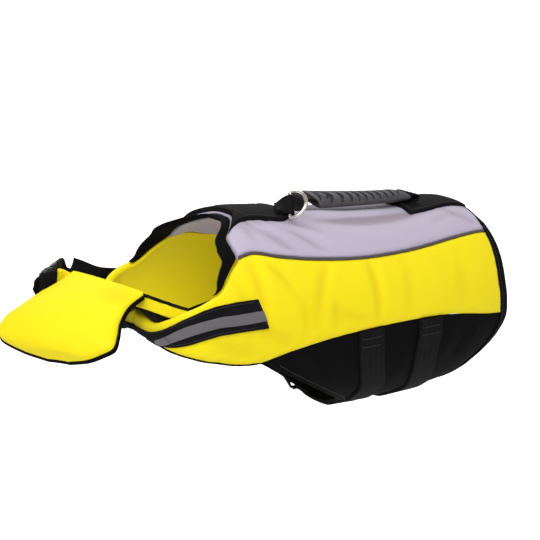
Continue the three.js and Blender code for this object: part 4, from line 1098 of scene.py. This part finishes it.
def spine_layer(table, inset, floor, thick, seed):
    """A layer of webbing on the back, with its half width along it from a table: points of
    its face and of its back."""
    start, end = table[0][0], table[-1][0]
    u, v = grid(110, 42)
    s = mix(start, end, u)
    for _ in range(7):
        half = read(table, s, 1)
        reach = (2 * v - 1) * (half - inset)
        phi = across_back(s, reach)
        s = mix(np.maximum(start, neck_edge(phi) + WEB_INSET) + inset,
                np.minimum(end, rear_edge(phi) - WEB_INSET) - inset, u)
    reach = reach + np.sign(reach) * 0.25 * uneven(s, seed) * ease(np.abs(2 * v - 1), 0.8, 1)
    phi = across_back(s, reach)
    face, relief = back_lift(s, phi)
    base = np.maximum(face, -2.0) + WEB_LIFT + 0.3 * np.maximum(-relief, 0) + floor
    edge = np.minimum(np.minimum(v, 1 - v) * 2 * half, np.minimum(u, 1 - u) * (end - start))
    return lifted(s, phi, -1, base + thick * rim(edge, 0.9, 0.35)), lifted(s, phi, -1, base)


for label, table, upper, cut, area in (
        ("front", SPINE_FRONT, LAYER, (0.080, 0.172), 0.0084),
        ("rear", SPINE_REAR, REAR_UPPER, (0.058, 0.168), 0.0090)):
    pairs = [spine_layer(table, 0, 0, LAYER, 1.9),
             spine_layer(table, 0.9, LAYER + 0.05, upper, 3.3)]
    piece = walls(f"spine_webbing_{label}_layers", pairs, black_webbing)
    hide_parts(f"spine_webbing_{label}")

boxes_sewn = []
for table, start, end, upper in ((SPINE_FRONT, -146, -88, LAYER),
                                 (SPINE_REAR, 62, 137, REAR_UPPER)):
    s = np.linspace(start + 4, end - 4, 200)
    rows = [(s, edge * (read(table, s, 1) - 4)) for edge in (-1, 1)]
    rows += [(cross + 0 * s, np.linspace(-1, 1, 200) * (read(table, cross, 1) - 4))
             for cross in (start + 4, end - 4)]
    for s, reach in rows:
        phi = across_back(s, reach)
        face, relief = back_lift(s, phi)
        boxes_sewn.append(line_on(s, phi, -1, face + 0.3 * np.maximum(-relief, 0) + WEB_LIFT
                                  + LAYER + 0.05 + upper))
sew("spine_webbing_stitches", boxes_sewn)


# D-ring. Bent round nickel plated wire, a straight bar and a bow; it swings about the bar.
RING_AT = np.array([-93.4, -30.6, 26 + RISE])
BAR_HALF, BOW, WIRE, BEND = 14, 16.5, 1.9, 3
BAR = unit(np.array([0.438, 0.581, 0.686]))
RING_FLAT = unit(np.cross(BAR, [-0.701, -0.258, 0.666]))
RING_NORMAL = np.cross(RING_FLAT, BAR)

nickel, tree, shader = principled("nickel", (0.72, 0.68, 0.62), Metallic=1.0, Roughness=0.16)
clouds = clouds_of(tree, 220)
paint(tree, shader, clouds, (0.66, 0.62, 0.56), (0.78, 0.75, 0.70))
dull(tree, shader, clouds, 0.1, 0.24)

turn = np.linspace(-math.pi / 2, math.pi / 2, 61)
bow = np.stack([np.cos(turn) * (BOW - BEND) + BEND, np.sin(turn) * BAR_HALF], 1)
bend = np.linspace(0, math.pi / 2, 9)[1:-1]
corner = np.stack([BEND * (1 - np.sin(bend)), BAR_HALF - BEND * (1 - np.cos(bend)) * 0.5], 1)
straight = np.stack([0 * np.ones(25), np.linspace(1, -1, 25) * (BAR_HALF - 1.5)], 1)
outline = np.concatenate([bow, corner, straight, corner[::-1] * [1, -1]])
centres = RING_AT + outline[:, :1] * RING_FLAT + outline[:, 1:] * BAR
along = unit(np.roll(centres, -1, axis=0) - np.roll(centres, 1, axis=0))
normal = np.broadcast_to(unit(np.cross(BAR, RING_FLAT)), along.shape)
ring = carried("d_ring_wire", centres, normal, np.cross(along, normal), circle(WIRE, 20), nickel,
               body="ring", looped=True)
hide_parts("d_ring")


# Ring loop. Webbing folded round the bar of the D-ring, its two ends laid on the front
# webbing and sewn there.
LOOP_HALF, LOOP_THICK, LOOP_INSIDE = 10, 1.8, WIRE + 0.7
LOOP_FOOT, LOOP_FLAT = np.array([-101, -18, 21.1 + RISE]), np.array([0.45, 0.88, 0.12])


def band_outline(half, thick, steps=10, round_steps=5):
    """A flat section with round edges for each half width."""
    r = thick / 2
    turn = np.linspace(-math.pi / 2, math.pi / 2, round_steps + 2)
    row = np.linspace(1, -1, steps + 1)[1:-1]
    half = np.asarray(half, float)[:, None]
    wide = np.concatenate([half - r + r * np.cos(turn), (half - r) * row,
                           r - half - r * np.cos(turn), (half - r) * -row], 1)
    deep = np.concatenate([r * np.sin(turn), r + 0 * row, r * np.sin(-turn), -r + 0 * row])
    return np.stack([wide, np.broadcast_to(deep, wide.shape)], -1)


def ribbon(name, stations, thick, material, count=110):
    """Webbing along a path: each station holds its middle, the way across it and its half
    width, and the cubic through them is followed."""
    stations = np.array(stations, float)
    far = travelled(stations[:, :3])
    table = np.column_stack([far, stations])
    at = np.linspace(0, far[-1], count)
    path = np.stack([read(table, at, k) for k in range(1, 8)], 1)
    centres, across, half = path[:, :3], unit(path[:, 3:6]), path[:, 6]
    along = unit(np.gradient(centres, axis=0))
    normal = unit(np.cross(along, across))
    piece = carried(name, centres, across, normal, band_outline(half, thick), material)
    return piece


def loop_tail(start, lift, t):
    """Stations of one end of the loop: from the bar it bends down to the spine webbing and
    turns flat on it."""
    foot = LOOP_FOOT + np.array([0, 0, lift])
    knee = foot + 4 * RING_FLAT
    knee[2] = foot[2] + 0.8
    t = t[:, None]
    middle = mix(mix(start, knee, t), mix(knee, foot, t), t)
    return np.column_stack([middle, mix(BAR, LOOP_FLAT, ease(t, 0, 0.8)), 0 * t + LOOP_HALF])


radius = LOOP_INSIDE + LOOP_THICK / 2
turn = np.radians(np.linspace(100, -100, 26))[:, None]
wrap = RING_AT + radius * (np.cos(turn) * RING_FLAT + np.sin(turn) * RING_NORMAL)
t = np.linspace(0, 1, 16)
stations = np.concatenate([loop_tail(wrap[0], LOOP_THICK + 0.3, 1 - t)[:-1],
                           np.column_stack([wrap, BAR + 0 * wrap, 0 * turn + LOOP_HALF]),
                           loop_tail(wrap[-1], 0, t)[1:]])
loop = ribbon("ring_loop_webbing", stations, LOOP_THICK, black_webbing, count=160)
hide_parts("ring_loop")


# Handle. A moulded rubber grip on a length of webbing: the webbing is sewn to the back panel
# before the grip, and behind it folds back under itself.
GRIP_FROM, GRIP_TO, GRIP_THICK, GRIP_CLEAR, GRIP_DOME = -45, 78, 10, 5.1, 0.45
GRIP_HALF, GRIP_ROLL = (17.5, 13.5), (13, 2)
SLOT_DEPTH = 2.2
GRIP_SLOTS = [
    # x of the middle, width, how far it bulges to the rear, half its length across
    (-37.5, 2.6, 4.5, 13), (-22.5, 5.6, 9, 16.4), (-9, 5.4, 8.4, 16), (2.5, 4.8, 6.8, 15.6),
    (12, 4.3, 5.6, 15), (21, 4.0, 4.8, 14.6), (30, 3.8, 4.2, 14.2), (39, 3.8, 3.8, 13.7),
    (48, 3.6, 3.4, 13.2), (57, 3.3, 3.1, 12.6), (65, 3.0, 2.8, 10.5),
]
EYE_AT, EYE_LONG, EYE_WIDE = -30.5, 4.2, 8


def back_top(x):
    """The height of the back panel's face at the spine."""
    return read(TORSO, x, 2) + RISE


def grip_middle(x):
    """The height of the grip's middle over the back panel."""
    t = (x - GRIP_FROM) / (GRIP_TO - GRIP_FROM)
    return back_top(x) + GRIP_CLEAR + GRIP_THICK / 2 + mix(1.2, 0.2, t) + 0.8 * np.sin(math.pi * t)


def grip_slots(x, y):
    """How deep the moulded pattern is: crescents that bulge to the rear, and round the first
    of them an oval groove with a slit in it."""
    depth = np.zeros(np.broadcast(x, y).shape)
    for at, wide, bulge, reach in GRIP_SLOTS:
        share = np.clip(1 - (y / reach) ** 2, 0, 1)
        off = np.abs(x - at + bulge * (y / reach) ** 2) - wide / 2 * share ** 0.6
        depth = np.maximum(depth, ease(-off, -0.25, 0.35) * (share > 0))
    oval = np.sqrt(((x - EYE_AT) / EYE_LONG) ** 2 + (y / EYE_WIDE) ** 2)
    depth = np.maximum(depth, ease(-np.abs(oval - 1) * EYE_LONG, -0.9, -0.3))
    return np.maximum(depth, ease(-oval, -0.34, -0.2)) * SLOT_DEPTH


grip_rubber, tree, shader = principled("grip_rubber", (0.03, 0.03, 0.032), Roughness=0.45)
where = add_node(tree, "ShaderNodeTexCoord")
clouds = clouds_of(tree, 70)
# Painted shade: the moulded grooves are darkened to near black by their depth, over the rubber's
# mottle.
sunk = add_node(tree, "ShaderNodeAttribute", attribute_name="relief")
tone = blend_colours(tree, clouds, (0.038, 0.036, 0.040), (0.060, 0.057, 0.063))
share = maths(tree, "MULTIPLY", sunk.outputs["Fac"], -0.55)
paint(tree, shader, share, tone, (0.001, 0.001, 0.001))
dull(tree, shader, clouds, 0.38, 0.52)
pebble = add_node(tree, "ShaderNodeTexVoronoi", {"Vector": where.outputs["Object"],
                                                 "Scale": 1500.0})
emboss(tree, shader, pebble.outputs["Distance"], 0.15, 0.0001)

x = np.linspace(GRIP_FROM, GRIP_TO, 340)[:, None]
turn = (np.arange(80)[None] + 0.5) * 2 * math.pi / 80
c, w = np.cos(turn), np.sin(turn)
ends = np.minimum(x - GRIP_FROM, GRIP_TO - x)
swell = rim(ends, 3.2, 0.8)
t = (x - GRIP_FROM) / (GRIP_TO - GRIP_FROM)
y = np.sign(c) * np.abs(c) ** 0.5 * mix(*GRIP_HALF, t) * swell
h = np.sign(w) * np.abs(w) ** 0.7 * GRIP_THICK / 2 * swell
h = h * (1 - (w > 0) * GRIP_DOME * (y / mix(*GRIP_HALF, t)) ** 2)
h = h - (w > 0) * np.abs(w) ** 0.7 * 2.4 * ease(x, 62, 78)
relief = -grip_slots(x, y) * ease(w + 0 * x, 0.35, 0.6)
roll_by = np.radians(mix(*GRIP_ROLL, t))
h = h + relief
across, over = y * np.cos(roll_by) - h * np.sin(roll_by), h * np.cos(roll_by) + y * np.sin(roll_by)
points = np.stack(np.broadcast_arrays(x, across, grip_middle(x) + over), -1)
grip = put_mesh("handle_grip_moulding", points.reshape(-1, 3), tube(*points.shape[:2]), grip_rubber,
                relief=relief.ravel(), sharp=50)
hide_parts("handle_grip")

WEB_HALF, WEB_FLOOR = 14, 5.0
FRONT_ARCH = [(-46, 10.5), (-50, 12.4), (-55, 12.6), (-58.5, 10.2), (-61, 6), (-64, 2.4),
              (-68, 1.6), (-72, 1.6)]
stations = [(x, 0, back_top(x) + z, 0, 1, 0, WEB_HALF) for x, z in FRONT_ARCH]
front_web = ribbon("handle_webbing_front_band", stations, WEBBING, black_webbing)
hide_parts("handle_webbing_front")

rear = GRIP_TO + 0.6
middle = grip_middle(GRIP_TO)
low = back_top(rear + 7) + WEB_FLOOR
fold = (middle - low) / 2
turn = np.linspace(0.5, -0.5, 12) * math.pi
path = [(rear, middle + 1), (rear + 3, middle + 0.7)]
path += list(zip(rear + 6 + fold * np.cos(turn), low + fold + fold * np.sin(turn)))
path += [(rear + 1, back_top(rear + 1) + WEB_FLOOR)]
stations = [(x, 0, z, 0, 1, 0, WEB_HALF if k else 12.5) for k, (x, z) in enumerate(path)]
rear_web = ribbon("handle_webbing_rear_band", stations, WEBBING, black_webbing, count=160)
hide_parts("handle_webbing_rear")


# Chest strips. On each wing a black webbing strip, sewn along both edges, with a grey
# reflective tape down its middle; both follow the wing's curve to the chest.
STRIP = [(-319.3, 84, 87.2), (-302, 84.5, 88), (-286, 83.5, 88.6), (-268, 79.5, 88.6),
         (-246, 72.5, 86.5), (-226, 68, 83.6), (-202, 66.5, 82.4), (-160, 67, 81.6)]
TAPE = [(-279, 86.6, 88.4), (-266, 83.4, 87.6), (-250, 78, 83.6), (-234, 74.6, 80.2),
        (-216, 73, 78.6), (-190, 73, 78.6), (-161, 72.8, 78)]
STRIP_FROM, STRIP_TO, TAPE_FROM, STRIP_THICK, TAPE_THICK = -319.3, -168, -279, 1.5, 0.6


def strip_end(phi):
    """Where the strip is cut off behind: aslant, further back at its lower edge."""
    return STRIP_TO + 8 * np.clip((phi - 67) / 14.6, 0, 1)


def wing_lay(s, phi, side):
    """The height at which webbing lies on the wing: on its face, bridging the troughs."""
    face, _, relief = side_lift(s, phi, side)
    return np.maximum(face, -1.6) + 0.35 * np.maximum(-relief, 0) + 0.2


reflective, tree, shader = principled("reflective_tape", (0.115, 0.108, 0.118), Roughness=0.42,
                                      Specular_IOR_Level=0.55)
where = add_node(tree, "ShaderNodeTexCoord")
diagonal = add_node(tree, "ShaderNodeVectorRotate", {"Vector": where.outputs["UV"], "Angle": 0.6},
                    rotation_type="Z_AXIS")
twill = add_node(tree, "ShaderNodeGroup", {"Vector": diagonal.outputs[0], "Ribs": 62, "Column": 5},
                 node_tree=herring)
beads = add_node(tree, "ShaderNodeTexVoronoi", {"Vector": where.outputs["UV"], "Scale": 520.0})
# Painted highlight: the twill's rib tops are mixed towards the paler grey by their height.
tone = blend_colours(tree, twill.outputs[0], (0.080, 0.075, 0.083), (0.130, 0.123, 0.133))
share = maths(tree, "MULTIPLY", beads.outputs["Distance"], 0.35)
paint(tree, shader, share, tone, (0.19, 0.18, 0.195))
emboss(tree, shader, twill.outputs[0], 0.25, 0.0002)

strip_rows = []
for label, side in (("left", -1), ("right", 1)):
    for name, table, start, base, thick, material, slot, seed, cut, area, under in (
            ("chest_strip", STRIP, STRIP_FROM, 0, STRIP_THICK, black_webbing, "black_webbing", 2.6,
             (0.025, 0.155), 0.0034, "side_panel_cloth"),
            ("reflective_tape", TAPE, TAPE_FROM, STRIP_THICK + 0.05, TAPE_THICK, reflective,
             "reflective_tape", 4.4, (0.010, 0.118), 0.00116, "chest_strip_cloth")):
        u, v = grid(200, 16)
        head = mix(read(table, STRIP_TO, 1), read(table, STRIP_TO, 2), v)
        s = mix(start, strip_end(head), u)
        top, low = read(table, s, 1), read(table, s, 2)
        wander = 0.10 * uneven(s, seed) * (1 - v) + 0.06 * uneven(s, seed + 2) * v
        phi = mix(top, low, v) + wander
        reach = np.minimum(np.minimum(v, 1 - v) * (low - top) * MM_PER_DEGREE,
                           np.minimum(u, 1 - u) * (STRIP_TO - start))
        lay = wing_lay(s, phi, side) + base
        top = lay + thick * rim(reach, thick * 0.6, 0.3)
        piece = shell(f"{name}_cloth_{label}", lifted(s, phi, side, top),
                      lifted(s, phi, side, lay), material)
        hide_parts(f"{name}_{label}")
    s = np.linspace(-312, STRIP_TO - 2, 420)
    for share in (0.09, 0.91):
        phi = mix(read(STRIP, s, 1), read(STRIP, s, 2), share)
        strip_rows.append(line_on(s, phi, side, wing_lay(s, phi, side) + STRIP_THICK))
    phi = np.linspace(68.2, 80.6, 60)
    s = strip_end(phi) - 2
    strip_rows.append(line_on(s, phi, side, wing_lay(s, phi, side) + STRIP_THICK))
    t = np.linspace(0, 1, 40)
    s, phi = mix(-266, -254, t), mix(82.6, 86.8, t)
    lay = wing_lay(s, phi, side) + STRIP_THICK + TAPE_THICK + 0.1
    strip_rows.append(line_on(s, phi, side, lay))
sew("chest_strip_stitches", strip_rows, pitch=2.8, thread=0.26)

# The wing's lower edge is bound with narrow black tape up to where the belly panel begins
for label, side in (("left", -1), ("right", 1)):
    s = np.linspace(-300, -166, 220)
    phi = read(WING_LOW, s, 1) + 0.35 + 0.08 * uneven(s, 3.9)
    down = unit(form(s, phi + 1, side) - form(s, phi - 1, side))
    centres = lifted(s, phi, side, 0 * s - 4.2)
    edging = carried(f"wing_edging_{label}", centres, outward(s, phi, side), down,
                     rounded(1.9, 1.25, 0.8, 14), black_cloth)


# Neck band. A yellow band with a black bound top edge, from inside the left wing across the
# front of the neck to the right corner.
NECK_BAND = np.array([
    # place, x, y of its path and z of its top edge
    (0, -222.9, -66.8, -45), (1, -232.9, -60.8, -42), (2, -243.9, -43.5, -38),
    (3, -252.5, -27, -34.5), (4, -262, 5, -32), (5, -272, 36, -30), (6, -277.8, 63.6, -29),
])
BAND_HEIGHT, BAND_WALL, BAND_BINDING = 14, 3, 1.8


def band_point(u, depth, drop):
    """A point of the neck band: u along it, depth in from its face and drop below its top."""
    at = np.broadcast_to(u, np.broadcast(u, depth, drop).shape) * 6.0
    here = np.stack([read(NECK_BAND, at, k) for k in (1, 2)], -1)
    ahead = np.stack([read(NECK_BAND, np.minimum(at + 0.05, 6), k) for k in (1, 2)], -1)
    behind = np.stack([read(NECK_BAND, np.maximum(at - 0.05, 0), k) for k in (1, 2)], -1)
    along = unit(ahead - behind)
    x = here[..., 0] + along[..., 1] * depth
    y = here[..., 1] - along[..., 0] * depth
    return np.stack([x, y, read(NECK_BAND, at, 3) + RISE - drop], -1)


def band_round(v, height, depth=1.2, radius=2.0):
    """How far a band's face draws in near its upper and its lower edge."""
    return roll(np.minimum(v, 1 - v) * height, depth, radius)


u, v = grid(160, 22)
ripple = 0.3 * uneven(u * 150 + 6 * v, 3.1) * (1 - v) + 0.18 * uneven(u * 150, 5.2)
inward = band_round(v, BAND_HEIGHT - BAND_BINDING)
face = band_point(u, inward - ripple, mix(BAND_BINDING + 0.2, BAND_HEIGHT, v))
back = band_point(u, BAND_WALL - inward, mix(BAND_BINDING + 0.2, BAND_HEIGHT, v))
band = shell("neck_band_cloth", face, back, yellow_nylon, ripple)
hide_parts("neck_band")

u, v = grid(200, 12)
ripple = 0.4 * uneven(u * 150, 2.3)
low = BAND_BINDING + 0.35 * uneven(u * 150, 6.1)
inward = band_round(v, BAND_BINDING, 0.7, 1.0)
face = band_point(u, inward - 0.6 - ripple * 0.6, mix(0.1 + 0.3 * ripple, low, v))
back = band_point(u, 3.6 - inward, mix(0.1 + 0.3 * ripple, low, v))
piece = shell("neck_band_binding_cloth", face, back, black_cloth)
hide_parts("neck_band_binding")


# Chest mesh. Fine black warp knitted net below the neck band: it goes back over the wings'
# upper edge and hangs behind them.
black_net, tree, shader = principled("black_net", (0.008, 0.008, 0.009), Roughness=0.75,
                                     Specular_IOR_Level=0.25)
where = add_node(tree, "ShaderNodeTexCoord")
cells = add_node(tree, "ShaderNodeTexVoronoi", {"Vector": where.outputs["UV"], "Scale": 55.0,
                                                "Randomness": 0.25}, feature="DISTANCE_TO_EDGE")
strand = add_node(tree, "ShaderNodeMapRange", {"Value": cells.outputs["Distance"], "From Min": 0.08,
                                               "From Max": 0.2, "To Min": 1, "To Max": 0})
paint(tree, shader, strand.outputs[0], (0.0015, 0.0015, 0.002), (0.016, 0.016, 0.018))
emboss(tree, shader, strand.outputs[0], 0.6, 0.0004)


def mesh_point(u, v, depth):
    """The net from under the band (v 0) over its knee on the wings' edge (0.5) to its foot."""
    top = band_point(mix(0.06, 0.92, u), 0.4 + depth, BAND_HEIGHT + 0.3)
    x, y = mix(-226, -236, ease(u, 0, 0.4)) + depth, mix(-58, 44, u)
    knee = np.stack([x, y, mix(-53, -46, ease(u, 0.3, 1)) + RISE], -1)
    foot = np.stack([x + 1, y, -72 + RISE + 0 * x], -1)
    v = v[..., None]
    return mix(mix(top, knee, v * 2), mix(knee, foot, v * 2 - 1), ease(v, 0.4, 0.6))


u, v = grid(90, 60)
ripple = 0.5 * uneven(u * 120, 2.2) * np.sin(math.pi * v)
net = shell("chest_net", mesh_point(u, v, ripple), mesh_point(u, v, 1.2 + ripple), black_net)
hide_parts("chest_mesh")


# Chin float. A padded tongue sewn to the neck band, which holds the wearer's chin over the
# water: yellow nylon over foam, a black knit back, seamed together all round.
CHIN = [
    # place, left edge x, y, z, right edge x, y, z, height of the crown
    (0, -255, -25.1, -31, -279, 58, -26, 1),
    (0.2, -270.1, -23.3, -39.7, -293, 63, -36, 6),
    (0.42, -283.4, -28.8, -50.5, -311, 67, -45, 10),
    (0.62, -292.8, -38.8, -59.7, -330, 68, -54, 12),
    (0.8, -302.1, -46.2, -67, -349, 67, -63, 11),
    (0.9, -311, -41.4, -72, -358, 56, -73, 8),
    (0.97, -320.7, -30.4, -78, -349, 30, -80, 5),
    (1, -328, -12, -83, -337, 8, -84, 2),
]
CHIN_EDGE, CHIN_HOLLOW, CHIN_ROOM, CHIN_WALL, CHIN_GROW = 3, 0.3, 1.5, 2.8, 1.6


def chin_sides(t):
    """The tongue's left and right edge at t."""
    return (np.stack([read(CHIN, t, k) for k in columns], -1) for columns in ((1, 2, 3), (4, 5, 6)))


def chin_point(t, v, lift, grow, crown=1.0):
    """A point of the tongue: t from the band to its tip, v from its left to its right edge;
    crown is the share of the dome, and grow widens it on both sides."""
    near, far = chin_sides(t)
    side = unit(far - near)
    place = mix(near - side * grow, far + side * grow, v[..., None])
    arch = np.clip(4 * v * (1 - v), 0, None) ** 0.62
    tilt = (1 - ease(t, 0, 0.3))[..., None]
    normal = unit(mix(np.array([-0.45, -0.05, 0.9]), np.array([0.0, 0.0, 1.0]), tilt))
    height = (lift + crown * read(CHIN, t, 7) * arch)[..., None]
    return place + normal * height + np.array([0, 0, RISE])


def chin_edge(t, v):
    """Distances in mm to the tongue's side edges and its tip."""
    near, far = chin_sides(t)
    width = np.linalg.norm(far - near, axis=-1)
    tip = np.linalg.norm((near + far) / 2 - (near + far)[-1:] / 2, axis=-1)
    return np.minimum(v, 1 - v) * width, tip


u, v = grid(130, 112)
t = 1 - (1 - u) ** 1.15
to_side, to_tip = chin_edge(t, v)
edge = np.minimum(to_side, to_tip + 0.5)
relief = puckers(0.25, edge, 6, t * 110 + 30 * v, 4.6)
relief += -1.0 * np.exp(-((t - 0.17) * 8) ** 2 - ((v - 0.15) * 5) ** 2)
relief += 0.5 * np.exp(-((t - 0.5) * 5) ** 2 - ((v - 0.8) * 6) ** 2)
sink = roll(edge, 1.0, 2.5)
face = chin_point(t, v, relief - sink, 0)
back = chin_point(t, v, 0 * t - CHIN_EDGE, 0, CHIN_HOLLOW)
chin = shell("chin_float_cloth", face, back, yellow_nylon, relief)
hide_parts("chin_float")

sink = roll(edge, 0.7, 1.4)
top = chin_point(t, v, -CHIN_EDGE - 0.25 - sink, CHIN_GROW, CHIN_HOLLOW)
low = chin_point(t, v, sink - CHIN_EDGE - CHIN_ROOM - CHIN_WALL, CHIN_GROW, CHIN_HOLLOW)
chin_back = shell("chin_float_back_cloth", top, low, black_cloth)
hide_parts("chin_float_back")


# Neck strap. Webbing from the right wing to a side release buckle at the chest corner; a
# short end goes on from the buckle to a yellow loop on the end of the neck band.
NECK_BUCKLE_AT = np.array([-286, 85.5, -37 + RISE])
NECK_ALONG, NECK_BACK = unit(np.array([0.87, 0.46, 0.17])), unit(np.array([-0.46, 0.87, 0]))
NECK_ACROSS = unit(np.cross(NECK_BACK, NECK_ALONG))
NECK_LENGTH, NECK_WIDTH = 38, 23
UPRIGHT = unit(np.array([0.1, 0, 1]))


def sewn_station(s, phi):
    """A station of the neck strap on the right wing, on top of its strip."""
    s, phi = np.array([float(s)]), np.array([float(phi)])
    down = unit(form(s, phi + 1, 1) - form(s, phi - 1, 1))
    at = lifted(s, phi, 1, wing_lay(s, phi, 1) + STRIP_THICK + TAPE_THICK + 0.4 + WEBBING / 2)
    return (*at[0], *-down[0], 12)


def strap_station(x, y, z, half=12):
    """A station of the strap in the air; z is over the same datum as the neck band's."""
    return (x, y, z + RISE, *UPRIGHT, half)


rear_end = NECK_BUCKLE_AT + NECK_ALONG * (NECK_LENGTH / 2 + 0.6)
front_end = NECK_BUCKLE_AT - NECK_ALONG * (NECK_LENGTH / 2 + 0.6)
neck_strap = ribbon("neck_strap_webbing", [
    sewn_station(-192, 77), sewn_station(-204, 76), sewn_station(-216, 75),
    strap_station(-236, 86, -48), strap_station(-254, 93.5, -39), (*rear_end, *NECK_ACROSS, 11),
], WEBBING, black_webbing)
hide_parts("neck_strap")
end = ribbon("neck_strap_end_webbing", [
    (*front_end, *NECK_ACROSS, 9.5), strap_station(-306, 74.5, -40, 9.5),
    strap_station(-305, 71, -38, 9), strap_station(-300.5, 70.5, -35, 8),
    strap_station(-289, 72.1, -33.5, 6.5),
], WEBBING, black_webbing)
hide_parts("neck_strap_end")
yellow_loop = ribbon("neck_band_loop_cloth", [
    strap_station(-278.7, 64.1, -37, 7), strap_station(-280.2, 69.6, -36, 7),
    strap_station(-282.4, 73, -34.5, 7), strap_station(-285.6, 73.4, -33.5, 7),
    strap_station(-287.2, 70.8, -33.5, 7), strap_station(-286.6, 66.6, -33.5, 7),
], WEBBING, yellow_nylon)
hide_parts("neck_band_loop")
add_buckle("neck_buckle", ["neck_buckle_female", "neck_buckle_male"], NECK_LENGTH, NECK_WIDTH,
           BUCKLE_DEPTH, NECK_BUCKLE_AT, NECK_ALONG, NECK_BACK)
